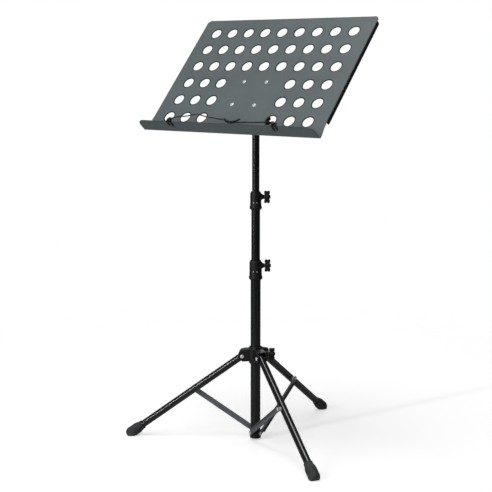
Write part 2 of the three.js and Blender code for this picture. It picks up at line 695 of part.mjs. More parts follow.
function deskRivets() {
  const front = -DESK_STANDOFF - GAP;
  const back = DESK_BACK + GAP + BRACKET_SHEET + GAP;
  const profile = [
    [0, front - RIVET_HEAD_THICKNESS],
    [RIVET_HEAD_RADIUS * 0.55, front - RIVET_HEAD_THICKNESS * 0.85],
    [RIVET_HEAD_RADIUS, front - RIVET_HEAD_THICKNESS * 0.2],
    [RIVET_HEAD_RADIUS, front],
    [RIVET_RADIUS, front],
    [RIVET_RADIUS, back],
    [RIVET_HEAD_RADIUS * 0.8, back],
    [RIVET_HEAD_RADIUS * 0.8, back + 1.3],
    [0, back + 1.3],
  ];
  return rivetPlaces().map(([x, z], i) => {
    const rivet = piece(`desk_rivet_${i + 1}`, turnedAlongY(profile, FINE_SIDES), brightSteel);
    rivet.position.set(x, 0, z);
    return rivet;
  });
}

// ---- Page arms ----------------------------------------------------------------------------
// Frame of a clip and its arm: the origin is on the arm's pivot axis, at the shelf's front edge.
// X runs inwards along the shelf for the left-hand one, and the right-hand one is its mirror.
const CLIP_FRONT = -GAP - CLIP_THICKNESS;
const ARM_PLANE = CLIP_FRONT - GAP - EYE_THICKNESS / 2;

function pageClip(name) {
  const shelfTop = -ARM_PIVOT_ABOVE_SHELF;
  const shelfFoot = shelfTop - SHEET;
  const top = shelfTop + GAP + CLIP_THICKNESS;
  const foot = shelfFoot - GAP - CLIP_THICKNESS;
  const x = [-CLIP_WIDTH + STUD_HEAD_RADIUS, STUD_HEAD_RADIUS];
  const firstProng = [x[1] - PRONG_WIDTH, x[1]];
  const secondProng = [x[0], x[0] + PRONG_WIDTH];
  const underside = [foot, foot + CLIP_THICKNESS];
  const studEnd = ARM_PLANE - EYE_THICKNESS / 2 - GAP;
  const clip = join(
    block(x, [CLIP_FRONT, -GAP], [foot, Math.max(top, STUD_RADIUS + 1)]),
    block(x, [CLIP_FRONT, TONGUE_LENGTH], [shelfTop + GAP, top]),
    block(firstProng, [CLIP_FRONT, PRONG_LENGTH], underside),
    block(secondProng, [CLIP_FRONT, PRONG_LENGTH * 0.8], underside),
    turnedAlongY(
      [
        [0, studEnd - STUD_HEAD_THICKNESS],
        [STUD_HEAD_RADIUS, studEnd - STUD_HEAD_THICKNESS],
        [STUD_HEAD_RADIUS, studEnd],
        [STUD_RADIUS, studEnd],
        [STUD_RADIUS, CLIP_FRONT + 0.5],
        [0, CLIP_FRONT + 0.5],
      ],
      FINE_SIDES,
    ),
  );
  return piece(name, clip, blackEnamel);
}

function pageWire(name, points) {
  const places = points.map(([along, up, back]) => new THREE.Vector3(along, ARM_PLANE + back, up));
  const section = new THREE.Shape(roundHole(0, 0, WIRE_RADIUS, WIRE_SIDES).getPoints());
  const smooth = new THREE.CatmullRomCurve3(places, false, "catmullrom", 0.4);
  const steps = points.length * 2;
  const rod = new THREE.ExtrudeGeometry(section, { steps, extrudePath: smooth });
  const eye = turnedAlongY(
    pipeProfile(STUD_RADIUS + GAP, EYE_RADIUS, ARM_PLANE - EYE_THICKNESS / 2,
      ARM_PLANE + EYE_THICKNESS / 2),
    FINE_SIDES,
  );
  return piece(name, join(solid(rod), eye), blackEnamel);
}

function mirrored(mesh) {
  mesh.geometry = mesh.geometry.clone().scale(-1, 1, 1);
  const index = mesh.geometry.index.array;
  for (let i = 0; i < index.length; i += 3) [index[i], index[i + 1]] = [index[i + 1], index[i]];
  mesh.geometry.computeVertexNormals();
  return mesh;
}

function pageArms() {
  const z = SHELF_TOP + ARM_PIVOT_ABOVE_SHELF;
  const left = group(pageClip("page_clip_left"), pageWire("page_wire_left", LEFT_ARM));
  left.position.set(-ARM_PIVOT_X, SHELF_FRONT, z);
  const right = group(
    mirrored(pageClip("page_clip_right")),
    mirrored(pageWire("page_wire_right", RIGHT_ARM)),
  );
  right.position.set(ARM_PIVOT_X, SHELF_FRONT, z);
  return [left, right];
}

function deskAndHead() {
  const desk = group(deskPlate(), deskBracket(), ...deskRivets(), ...pageArms());
  desk.rotation.x = -DESK_LEAN * DEGREE;
  const washerFoot = HEAD_WIDTH / 2 + GAP;
  const made = group(
    desk,
    tiltHead(),
    tiltBolt(),
    tiltKnob(),
    tiltWasher("tilt_washer_right", washerFoot),
    tiltWasher("tilt_washer_left", -washerFoot - WASHER_THICKNESS),
  );
  made.position.z = TILT_AXIS_HEIGHT;
  return made;
}

// ---- Tripod -------------------------------------------------------------------------------
// Frame of one leg's pieces: X points out from the column along the leg, Z up.
const HOOD_INNER = LEG_RADIUS + 2 * GAP;
const HOOD_OUTER = HOOD_INNER + HOOD_SHEET;

function hoodOutline() {
  const foot = HUB_PIN_HEIGHT - HOOD_BELOW_PIN;
  const roof = HUB_PIN_HEIGHT + HOOD_ROOF_ABOVE_PIN + HOOD_SHEET;
  const end = HUB_PIN_REACH + HOOD_BEYOND_PIN;
  const shape = new THREE.Shape();
  shape.moveTo(0, foot + 3);
  shape.lineTo(SLEEVE_RADIUS, foot);
  shape.lineTo(HUB_PIN_REACH, foot - 1);
  shape.absarc(HUB_PIN_REACH, HUB_PIN_HEIGHT, HOOD_BEYOND_PIN, -Math.PI / 2.6, 0, false);
  shape.lineTo(end, HUB_PIN_HEIGHT + 4);
  shape.quadraticCurveTo(end - 1, roof - 1, HUB_PIN_REACH - 3, roof);
  shape.lineTo(0, roof + 3);
  return shape;
}

function hub() {
  const bore = OUTER_TUBE_RADIUS + GAP;
  const foot = HUB_PIN_HEIGHT - HUB_BOTTOM_BELOW_PIN;
  const top = HUB_PIN_HEIGHT + HUB_TOP_ABOVE_PIN;
  let body = turned([
    [0, foot],
    [SLEEVE_RADIUS - 1, foot],
    [SLEEVE_RADIUS, foot + 1.5],
    [SLEEVE_RADIUS, top - 3],
    [SLEEVE_RADIUS - 1.5, top],
    [0, top],
  ]);
  LEG_NAMES.forEach((_, i) => {
    const hood = slabAcrossY(hoodOutline(), -HOOD_OUTER, HOOD_OUTER);
    const room = block(
      [SLEEVE_RADIUS + GAP, HUB_PIN_REACH + HOOD_BEYOND_PIN + 5],
      [-HOOD_INNER, HOOD_INNER],
      [foot - 20, HUB_PIN_HEIGHT + HOOD_ROOF_ABOVE_PIN],
    );
    const pinHole = turnedAlongY(rodProfile(PIN_RADIUS + GAP, -20, 20), FINE_SIDES);
    const arm = cut(hood, room, pinHole.translate([HUB_PIN_REACH, 0, HUB_PIN_HEIGHT]));
    body = join(body, arm.rotate([0, 0, TRIPOD_TURN + 120 * i]));
  });
  const boss = turnedAlongX([
    [0, 0],
    [NOSE_RADIUS * 1.5, 0],
    [NOSE_RADIUS * 1.3, SLEEVE_RADIUS + 2],
    [NOSE_RADIUS, HUB_NOSE_REACH - 3],
    [NOSE_RADIUS, HUB_NOSE_REACH],
    [0, HUB_NOSE_REACH],
  ]);
  const clampHeight = HUB_PIN_HEIGHT + CLAMP_OVER_PIN;
  body = join(body, boss.translate([0, 0, clampHeight]).rotate([0, 0, CLAMP_TURN]));
  const screwHole = turnedAlongX(
    rodProfile(SCREW_RADIUS + GAP, 0, HUB_NOSE_REACH + 1), FINE_SIDES);
  const tubeHole = turned(rodProfile(bore, foot - 1, top + 10));
  return piece(
    "hub",
    cut(body, tubeHole, screwHole.translate([0, 0, clampHeight]).rotate([0, 0, CLAMP_TURN])),
    blackPlastic,
  );
}

// Frame of one leg: the origin is on its hub pin, X runs down the leg and Y as above.
function inLegFrame(...children) {
  const made = group(...children);
  made.position.set(HUB_PIN_REACH, 0, HUB_PIN_HEIGHT);
  made.rotation.y = LEG_SLOPE * DEGREE;
  return made;
}

function leg(side) {
  const shaft = turnedAlongX(
    pipeProfile(LEG_RADIUS - TUBE_WALL, LEG_RADIUS, -LEG_END_BEHIND_PIN, LEG_PIN_TO_TIP));
  const pinHole = turnedAlongY(rodProfile(PIN_RADIUS + GAP, -20, 20), FINE_SIDES);
  return piece(`leg_${side}`, cut(shaft, pinHole), blackEnamel);
}

function hubPin(side) {
  const seat = HOOD_OUTER + GAP;
  const head = seat + PIN_HEAD_THICKNESS;
  const profile = [
    [0, -head],
    [PIN_HEAD_RADIUS * 0.7, -head],
    [PIN_HEAD_RADIUS, -seat - 0.4],
    [PIN_HEAD_RADIUS, -seat],
    [PIN_RADIUS, -seat],
    [PIN_RADIUS, seat],
    [PIN_HEAD_RADIUS, seat],
    [PIN_HEAD_RADIUS, seat + 0.4],
    [PIN_HEAD_RADIUS * 0.7, head],
    [0, head],
  ];
  return piece(`hub_pin_${side}`, turnedAlongY(profile, FINE_SIDES), brightSteel);
}

// The bush on a leg's side that the brace swings against, hollowed to sit on the tube.
function legBush(side) {
  const boss = turnedAlongY(rodProfile(BUSH_RADIUS, -BRACE_OFFSET + GAP, 0), FINE_SIDES);
  const saddle = turnedAlongX(rodProfile(LEG_RADIUS + GAP, -2 * BUSH_RADIUS, 2 * BUSH_RADIUS));
  const bush = piece(`leg_bush_${side}`, cut(boss, saddle), brightSteel);
  bush.position.x = BRACE_PIN_ALONG_LEG;
  return bush;
}

// The rubber foot over a leg's end, worn flat where it stands on the floor.
function foot(side) {
  const bore = LEG_RADIUS + GAP;
  const tip = LEG_PIN_TO_TIP;
  const neck = tip - FOOT_NECK_BEFORE_TIP;
  const end = tip + FOOT_BEYOND_TIP;
  const rubber = turnedAlongX([
    [bore, neck],
    [FOOT_NECK_RADIUS, neck],
    [FOOT_NECK_RADIUS + 0.4, neck + 4],
    [FOOT_RADIUS - 0.4, neck + 16],
    [FOOT_RADIUS, neck + 22],
    [FOOT_RADIUS, end - 10],
    [(FOOT_RADIUS + FOOT_TIP_RADIUS) / 2 + 0.6, end - 3],
    [FOOT_TIP_RADIUS, end],
    [0, end],
    [0, tip + GAP],
    [bore, tip + GAP],
  ]);
  const standing = rubber
    .rotate([0, LEG_SLOPE, 0])
    .translate([HUB_PIN_REACH, 0, HUB_PIN_HEIGHT]);
  const floor = block([0, 2 * LEG_PIN_TO_TIP], [-50, 50], [-100, 0]);
  return piece(`foot_${side}`, cut(standing, floor), greyRubber);
}

// Frame of one brace: the origin is on its lower pin's axis and X runs up the brace.
const BRACE_RUN = HUB_PIN_REACH + LEG_RUN * BRACE_PIN_ALONG_LEG;
const BRACE_RISE = HUB_PIN_HEIGHT - LEG_RISE * BRACE_PIN_ALONG_LEG - BRACE_FOOT_HEIGHT;
const BRACE_LENGTH = Math.hypot(BRACE_RUN, BRACE_RISE);

function brace(side) {
  const half = BRACE_WIDTH / 2;
  const shape = new THREE.Shape();
  shape.moveTo(0, -half);
  shape.lineTo(BRACE_LENGTH, -half);
  shape.absarc(BRACE_LENGTH, 0, half, -Math.PI / 2, Math.PI / 2, false);
  shape.lineTo(0, half);
  shape.absarc(0, 0, half, Math.PI / 2, 1.5 * Math.PI, false);
  shape.holes = [0, BRACE_LENGTH].map((x) =>
    roundHole(x, 0, BRACE_PIN_RADIUS + GAP, FINE_SIDES));
  const web = slabAcrossY(shape, -BRACE_OFFSET - BRACE_SHEET, -BRACE_OFFSET);
  const x = [BRACE_FLAT_END, BRACE_LENGTH - BRACE_FLAT_END];
  const y = [-BRACE_OFFSET - BRACE_SHEET - BRACE_FLANGE, -BRACE_OFFSET];
  const flanges = [
    block(x, y, [half - BRACE_SHEET, half]),
    block(x, y, [-half, -half + BRACE_SHEET]),
  ];
  return piece(`brace_${side}`, join(web, ...flanges), greySteel);
}

// A rivet with its head outside a brace and its shank reaching in to y = -depth.
function braceRivet(name, depth) {
  const seat = BRACE_OFFSET + BRACE_SHEET + GAP;
  const head = seat + BRACE_PIN_HEAD_THICKNESS;
  const profile = [
    [0, -head],
    [BRACE_PIN_HEAD_RADIUS * 0.65, -head],
    [BRACE_PIN_HEAD_RADIUS, -seat - 0.5],
    [BRACE_PIN_HEAD_RADIUS, -seat],
    [BRACE_PIN_RADIUS, -seat],
    [BRACE_PIN_RADIUS, -depth],
    [0, -depth],
  ];
  return piece(name, turnedAlongY(profile, FINE_SIDES), brightSteel);
}

function braceSet(side) {
  const upperPin = braceRivet(`leg_pin_${side}`, BRACE_OFFSET);
  upperPin.position.x = BRACE_LENGTH;
  const made = group(brace(side), upperPin, braceRivet(`brace_pin_${side}`, BASE_PIN_DEPTH));
  made.position.z = BRACE_FOOT_HEIGHT;
  made.rotation.y = -Math.atan2(BRACE_RISE, BRACE_RUN);
  return made;
}

// The moulding in the foot of the column, with a boss for each brace.
function bottomBracket() {
  const spigotRadius = OUTER_TUBE_RADIUS - TUBE_WALL - GAP;
  const flangeTop = BASE_CLEARANCE + BASE_FLANGE_THICKNESS;
  let body = turned([
    [0, BASE_CLEARANCE],
    [BASE_FLANGE_RADIUS - 1, BASE_CLEARANCE],
    [BASE_FLANGE_RADIUS, BASE_CLEARANCE + 0.8],
    [BASE_FLANGE_RADIUS, flangeTop],
    [BASE_RADIUS, flangeTop + 0.8],
    [BASE_RADIUS, BASE_TOP],
    [spigotRadius, BASE_TOP],
    [spigotRadius, BASE_TOP + SPIGOT_LENGTH],
    [0, BASE_TOP + SPIGOT_LENGTH],
  ]);
  LEG_NAMES.forEach((_, i) => {
    const turn = [0, 0, TRIPOD_TURN + 120 * i];
    const face = BRACE_OFFSET - GAP;
    const boss = turnedAlongY(rodProfile(BASE_BOSS_RADIUS, -face, -BASE_RADIUS / 2), FINE_SIDES);
    const hole = turnedAlongY(
      rodProfile(BRACE_PIN_RADIUS + GAP, -face - 1, -BASE_PIN_DEPTH + GAP), FINE_SIDES);
    body = join(body, boss.translate([0, 0, BRACE_FOOT_HEIGHT]).rotate(turn));
    body = cut(body, hole.translate([0, 0, BRACE_FOOT_HEIGHT]).rotate(turn));
  });
  return piece("bottom_bracket", body, blackPlastic);
}

function tripod() {
  const spokes = LEG_NAMES.map((side, i) => {
    const spoke = group(
      inLegFrame(leg(side), hubPin(side), legBush(side)),
      foot(side),
      braceSet(side),
    );
    spoke.rotation.z = (TRIPOD_TURN + 120 * i) * DEGREE;
    return spoke;
  });
  const hubClamp = clamp(
    "hub",
    HUB_PIN_HEIGHT + CLAMP_OVER_PIN,
    OUTER_TUBE_RADIUS + GAP,
    HUB_NOSE_REACH + HUB_SCREW_SHOWN,
    yellowZinc,
  );
  return group(hub(), hubClamp, bottomBracket(), ...spokes);
}

// ---- The stand ----------------------------------------------------------------------------
const stand = group(tripod(), column(), deskAndHead());
const footprint = new THREE.Box3().setFromObject(stand, true);
const middle = footprint.getCenter(new THREE.Vector3());
stand.position.set(-middle.x, -middle.y, 0);

const musicStand = group(stand);
export default musicStand;
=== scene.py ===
"""A folding sheet-music stand, dressed piece by piece in the order in which it is put together.

Every piece is made in millimetres in a frame of its own and then set where the frame's joints and
boxes say, in metres.
"""

import json
import math

import bmesh
import bpy
from mathutils import Matrix, Vector


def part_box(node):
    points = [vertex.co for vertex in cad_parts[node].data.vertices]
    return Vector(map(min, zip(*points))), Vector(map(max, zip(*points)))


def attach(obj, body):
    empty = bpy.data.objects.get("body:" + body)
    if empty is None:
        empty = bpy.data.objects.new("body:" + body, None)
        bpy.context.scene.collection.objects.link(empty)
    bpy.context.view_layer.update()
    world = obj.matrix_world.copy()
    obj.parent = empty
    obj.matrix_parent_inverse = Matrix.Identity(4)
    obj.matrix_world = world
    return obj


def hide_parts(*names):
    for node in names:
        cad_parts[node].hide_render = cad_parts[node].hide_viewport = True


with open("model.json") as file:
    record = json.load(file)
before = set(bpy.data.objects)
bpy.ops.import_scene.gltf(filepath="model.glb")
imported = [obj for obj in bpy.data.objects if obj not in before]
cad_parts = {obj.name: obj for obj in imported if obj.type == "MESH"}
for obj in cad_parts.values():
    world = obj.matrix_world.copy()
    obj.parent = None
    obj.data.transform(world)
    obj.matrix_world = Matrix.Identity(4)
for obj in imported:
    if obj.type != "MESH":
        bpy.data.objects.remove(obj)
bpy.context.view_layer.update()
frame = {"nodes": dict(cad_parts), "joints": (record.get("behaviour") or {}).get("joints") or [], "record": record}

# ---- The places that the pieces are set in ------------------------------------------------------
# The column stands upright on the middle of its foot, the desk leans back on the tilt axis, and
# each leg hangs on its hub pin.
MM = 0.001
joints = {joint["name"]: joint for joint in frame["joints"]}
couplings = {c["joint"]: c["ratio"] for c in frame["record"]["behaviour"]["couplings"]}


def moved(x, y, z):
    return Matrix.Translation((x, y, z))


def turned_about(axis, degrees):
    return Matrix.Rotation(math.radians(degrees), 4, axis)


def pivot(joint):
    return Vector(joints[joint]["pos_m"]) / MM


def heights(node):
    low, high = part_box(node)
    return low.z / MM, high.z / MM


tube_low, tube_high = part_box("outer_tube")
axis_place = (tube_low + tube_high) / 2
in_metres = Matrix.Scale(MM, 4)
column_place = in_metres @ moved(axis_place.x / MM, axis_place.y / MM, 0)

clamp_axis = joints["lower_clamp_turn"]["axis"]
CLAMP_TURN = math.degrees(math.atan2(clamp_axis[1], clamp_axis[0]))

desk_normal = joints["left_arm_swing"]["axis"]
DESK_LEAN = math.degrees(math.atan2(desk_normal[2], -desk_normal[1]))
tilt_place = in_metres @ Matrix.Translation(pivot("desk_tilt"))
desk_place = tilt_place @ turned_about("X", -DESK_LEAN)

SIDES = ("right", "back", "left")
FOLD_TRAVEL = joints["tripod_fold"]["range_m"][1]
LEG_SLOPE = 90 - math.degrees(couplings["leg_right_swing"] * FOLD_TRAVEL)


def leg_azimuth(side):
    axis = joints[f"leg_{side}_swing"]["axis"]
    return math.degrees(math.atan2(-axis[0], axis[1]))


def leg_place(side):
    """X runs down the leg from its hub pin."""
    at = in_metres @ Matrix.Translation(pivot(f"leg_{side}_swing"))
    return at @ turned_about("Z", leg_azimuth(side)) @ turned_about("Y", LEG_SLOPE)


# ---- Desk plate ---------------------------------------------------------------------------------
# One sheet of 1.2 mm steel, punched with rows of round holes, its sides and top turned back and
# its foot folded forward into a shelf, then sprayed with slate-grey satin enamel.
SHEET = 1.2
FACE = -52.5  # the desk's front face, from the tilt axis
DESK_HALF = 234
DESK_TOP = 240
SHELF_UNDER = -86.5
SHELF_EDGE = -87.5
SHELF_CORNER = 17
FOLD_RADIUS = 4.5  # outside
FLANGE_RADIUS = 2  # outside
FLANGE_END = -45.3
FLANGE_BACK = -43.3
DESK_CORNER = 12
TAB_HALF = 237  # half width of the sheet below the flanges
HOLE_RADIUS = 12.4
HOLE_PITCH = (47, 48.8)
HOLE_TOP_ROW = 198.5
HOLE_ROWS = 6
FULL_ROWS = 3  # rows that run right across
EACH_SIDE = 4  # columns of holes beside the middle one
PLAIN_EACH_SIDE = 1  # of them without holes in the lower rows
RIVET_HOLE = 2.5
RIVETS = [(x, z) for z in (56.45, -7.05) for x in (-30.3, 30.3)]


def colour(code):
    """A linear colour from a six-digit hexadecimal one."""
    parts = [int(code[i : i + 2], 16) / 255 for i in (0, 2, 4)]
    return [p / 12.92 if p <= 0.04045 else ((p + 0.055) / 1.055) ** 2.4 for p in parts] + [1]


def rounded(points, radius, steps=5):
    """A closed outline with its corners rounded; a point's third value is a radius of its own."""
    made = []
    for i, (x, y, *own) in enumerate(points):
        here = Vector((x, y))
        before = Vector(points[i - 1][:2]) - here
        after = Vector(points[(i + 1) % len(points)][:2]) - here
        wanted = own[0] if own else radius
        turn = before.angle(after)
        if wanted <= 0 or turn > math.pi - 0.02:
            made.append(here)
            continue
        # A corner takes nearly all of an edge whose other end is sharp, or else half of it.
        share_before, share_after = (
            0.97 if other[2:] and other[2] < 0.5 else 0.48
            for other in (points[i - 1], points[(i + 1) % len(points)])
        )
        reach = min(
            wanted / math.tan(turn / 2), share_before * before.length, share_after * after.length
        )
        before.normalize()
        after.normalize()
        centre = here + (before + after).normalized() * reach / math.cos(turn / 2)
        start = here + before * reach - centre
        end = here + after * reach - centre
        sweep = start.angle(end)
        for k in range(steps + 1):
            near = math.sin(sweep * (1 - k / steps)) / math.sin(sweep)
            far = math.sin(sweep * k / steps) / math.sin(sweep)
            made.append(centre + start * near + end * far)
    return [(p.x, p.y) for p in made]


def circle(x, y, radius, sides=36):
    turns = [2 * math.pi * k / sides for k in range(sides)]
    return [(x + radius * math.cos(t), y + radius * math.sin(t)) for t in turns]


def baked(piece):
    """The piece's final mesh, with the piece itself removed."""
    bpy.context.view_layer.update()
    seen = piece.evaluated_get(bpy.context.evaluated_depsgraph_get())
    mesh = bpy.data.meshes.new_from_object(seen)
    bpy.data.objects.remove(piece)
    return mesh


def linked(data, name="work"):
    piece = bpy.data.objects.new(name, data)
    bpy.context.scene.collection.objects.link(piece)
    return piece


def cut_sheet(outlines, thickness, edge):
    """A flat sheet in X and Y: the first outline is its edge and the rest are holes."""
    curve = bpy.data.curves.new("work", "CURVE")
    curve.dimensions = "2D"
    curve.fill_mode = "BOTH"
    curve.extrude = thickness / 2 - edge
    curve.bevel_depth = edge
    curve.bevel_resolution = 2
    curve.offset = -edge
    for outline in outlines:
        spline = curve.splines.new("POLY")
        spline.points.add(len(outline) - 1)
        for point, (x, y) in zip(spline.points, outline):
            point.co = (x, y, 0, 1)
        spline.use_cyclic_u = True
    mesh = baked(linked(curve))
    tidied(mesh)
    return mesh


def tidied(mesh, distance=0.002):
    """Merges doubled points and turns every face outward."""
    work = bmesh.new()
    work.from_mesh(mesh)
    bmesh.ops.remove_doubles(work, verts=work.verts, dist=distance)
    bmesh.ops.dissolve_degenerate(work, edges=work.edges, dist=distance / 4)
    bmesh.ops.recalc_face_normals(work, faces=work.faces)
    work.to_mesh(mesh)
    work.free()


def sliced(mesh, axis, places):
    """Adds an edge loop across the mesh at each place along an axis, so that it can bend there."""
    work = bmesh.new()
    work.from_mesh(mesh)
    normal = Vector([1.0 if i == axis else 0.0 for i in range(3)])
    for place in places:
        everything = work.verts[:] + work.edges[:] + work.faces[:]
        bmesh.ops.bisect_plane(
            work, geom=everything, dist=1e-4, plane_co=normal * place, plane_no=normal
        )
    work.to_mesh(mesh)
    work.free()


BEND_STEPS = 6


def bend_places(start, radius, sign=1):
    length = radius * math.pi / 2
    return [start + sign * length * k / BEND_STEPS for k in range(BEND_STEPS + 1)]


def folded(along, offset, start, radius):
    """Where a point of a sheet goes that is bent a quarter turn from start towards +offset."""
    past = along - start
    if past <= 0:
        return along, offset
    length = radius * math.pi / 2
    turn = min(past, length) / radius
    reach = radius - offset
    straight = max(past - length, 0)
    out = start + reach * math.sin(turn) + straight * math.cos(turn)
    up = radius - reach * math.cos(turn) + straight * math.sin(turn)
    return out, up


def shaded(mesh, angle=35):
    mesh.polygons.foreach_set("use_smooth", [True] * len(mesh.polygons))
    mesh.set_sharp_from_angle(angle=math.radians(angle))


def finished(name, mesh, place, material, body, slot, *nodes):
    """A finished piece: set in its place, riding on its body and standing for its nodes."""
    mesh.transform(place)
    if place.determinant() < 0:
        mesh.flip_normals()
    shaded(mesh)
    mesh.materials.clear()
    mesh.materials.append(material)
    mesh.name = name
    piece = linked(mesh, name)
    even = piece.modifiers.new("even", "WEIGHTED_NORMAL")
    even.keep_sharp = True
    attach(piece, body)
    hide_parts(*nodes)
    return piece


# The effects that the finishes share: each is a node group with its own inputs.
def effect(name, inputs, outputs):
    tree = bpy.data.node_groups.new(name, "ShaderNodeTree")
    for label, kind, value in inputs:
        socket = tree.interface.new_socket(label, in_out="INPUT", socket_type=kind)
        if value is not None:
            socket.default_value = value
    for label, kind in outputs:
        tree.interface.new_socket(label, in_out="OUTPUT", socket_type=kind)
    return tree, tree.nodes.new("NodeGroupInput"), tree.nodes.new("NodeGroupOutput")


def node(tree, kind, settings=None, **inputs):
    """A node with its settings, and its inputs set to values or joined to sockets."""
    made = tree.nodes.new(kind)
    for key, value in (settings or {}).items():
        setattr(made, key, value)
    for key, value in inputs.items():
        wanted = key.replace("_", " ").lower()
        socket = next(s for s in made.inputs if s.name.lower() == wanted and s.enabled)
        if isinstance(value, bpy.types.NodeSocket):
            tree.links.new(value, socket)
        else:
            socket.default_value = value
    return made


def maths(tree, operation, first, second=0.0, clamp=False):
    made = tree.nodes.new("ShaderNodeMath")
    made.operation = operation
    made.use_clamp = clamp
    for socket, value in zip(made.inputs, (first, second)):
        if isinstance(value, bpy.types.NodeSocket):
            tree.links.new(value, socket)
        else:
            socket.default_value = value
    return made.outputs[0]


FLOAT = "NodeSocketFloat"


def mottle_effect():
    """Slow drift between a least and a most value, as hands and cloths leave on a surface."""
    ins = [("Scale", FLOAT, 20), ("Least", FLOAT, 0.3), ("Most", FLOAT, 0.5)]
    tree, given, out = effect("mottle", ins, [("Value", FLOAT)])
    place = node(tree, "ShaderNodeTexCoord").outputs["Object"]
    noise = node(
        tree, "ShaderNodeTexNoise", Vector=place, Scale=given.outputs["Scale"], Detail=6.0,
        Roughness=0.62,
    )
    spread = node(
        tree, "ShaderNodeMapRange", {"clamp": True}, Value=noise.outputs["Fac"], From_Min=0.3,
        From_Max=0.7, To_Min=given.outputs["Least"], To_Max=given.outputs["Most"],
    )
    tree.links.new(spread.outputs["Result"], out.inputs["Value"])
    return tree


def grain_effect():
    """The fine relief of sprayed enamel or of a spark-eroded mould."""
    ins = [("Scale", FLOAT, 900), ("Sharpness", FLOAT, 0.5)]
    tree, given, out = effect("grain", ins, [("Height", FLOAT)])
    place = node(tree, "ShaderNodeTexCoord").outputs["Object"]
    soft = node(
        tree, "ShaderNodeTexNoise", Vector=place, Scale=given.outputs["Scale"], Detail=2.0,
        Roughness=0.45,
    )
    cells = node(tree, "ShaderNodeTexVoronoi", Vector=place, Scale=given.outputs["Scale"])
    sharp = maths(tree, "MULTIPLY", cells.outputs["Distance"], given.outputs["Sharpness"])
    tree.links.new(maths(tree, "ADD", soft.outputs["Fac"], sharp), out.inputs["Height"])
    return tree


def wear_effect():
    """A mask of the edges where paint thins or rubs through, and of painted edge shade on the desk, broken by
    noise unless Even is up.
    """
    ins = [("Width", FLOAT, 0.0008), ("Amount", FLOAT, 0.5), ("Even", FLOAT, 0.0)]
    tree, given, out = effect("edge_wear_and_shade", ins, [("Mask", FLOAT)])
    true_normal = node(tree, "ShaderNodeNewGeometry").outputs["Normal"]
    soft = node(tree, "ShaderNodeBevel", {"samples": 4}, Radius=given.outputs["Width"])
    likeness = tree.nodes.new("ShaderNodeVectorMath")
    likeness.operation = "DOT_PRODUCT"
    tree.links.new(true_normal, likeness.inputs[0])
    tree.links.new(soft.outputs["Normal"], likeness.inputs[1])
    edge = maths(tree, "MULTIPLY", maths(tree, "SUBTRACT", 1.0, likeness.outputs["Value"]), 7.0)
    place = node(tree, "ShaderNodeTexCoord").outputs["Object"]
    noise = node(tree, "ShaderNodeTexNoise", Vector=place, Scale=160.0, Detail=5.0, Roughness=0.7)
    broken = node(
        tree, "ShaderNodeMapRange", {"clamp": True}, Value=noise.outputs["Fac"], From_Min=0.42,
        From_Max=0.66, To_Min=0.0, To_Max=given.outputs["Amount"],
    )
    amount = maths(tree, "MAXIMUM", broken.outputs["Result"], given.outputs["Even"])
    mask = maths(tree, "MULTIPLY", edge, amount, clamp=True)
    tree.links.new(mask, out.inputs["Mask"])
    return tree


def dust_effect():
    """A mask of the fine dust that settles on what faces up."""
    tree, given, out = effect("dust", [("Amount", FLOAT, 0.2)], [("Mask", FLOAT)])
    normal = node(tree, "ShaderNodeNewGeometry").outputs["Normal"]
    upward = node(tree, "ShaderNodeSeparateXYZ", Vector=normal).outputs["Z"]
    facing = maths(tree, "POWER", maths(tree, "MAXIMUM", upward, 0.0), 1.6)
    place = node(tree, "ShaderNodeTexCoord").outputs["Object"]
    noise = node(tree, "ShaderNodeTexNoise", Vector=place, Scale=45.0, Detail=8.0, Roughness=0.7)
    patch = maths(tree, "MULTIPLY", noise.outputs["Fac"], given.outputs["Amount"])
    mask = maths(tree, "MULTIPLY", facing, patch, clamp=True)
    tree.links.new(mask, out.inputs["Mask"])
    return tree


effects = {
    "mottle": mottle_effect(),
    "grain": grain_effect(),
    "wear": wear_effect(),
    "dust": dust_effect(),
}


def use(tree, name, **inputs):
    made = node(tree, "ShaderNodeGroup", {"node_tree": effects[name]})
    for label, value in inputs.items():
        made.inputs[label].default_value = value
    return made.outputs[0]


def mixed(tree, share, first, second):
    """A colour that goes from the first to the second with a mask."""
    made = tree.nodes.new("ShaderNodeMix")
    made.data_type = "RGBA"
    sockets = {s.identifier: s for s in made.inputs}
    wanted = {"Factor_Float": share, "A_Color": first, "B_Color": second}
    for identifier, value in wanted.items():
        if isinstance(value, bpy.types.NodeSocket):
            tree.links.new(value, sockets[identifier])
        else:
            sockets[identifier].default_value = value
    return next(s for s in made.outputs if s.identifier == "Result_Color")


def finish_shell(name, **fixed):
    """An empty material with a Principled shader; fixed holds the values that are even all over."""
    material = bpy.data.materials.new(name)
    material.use_nodes = True
    tree = material.node_tree
    shader = tree.nodes["Principled BSDF"]
    for label, value in fixed.items():
        shader.inputs[label.replace("_", " ")].default_value = value
    return material, tree, shader


def relief(tree, shader, height, depth):
    """Depth is in millimetres."""
    bump = node(tree, "ShaderNodeBump", Height=height, Strength=1.0, Distance=depth * MM)
    tree.links.new(bump.outputs["Normal"], shader.inputs["Normal"])


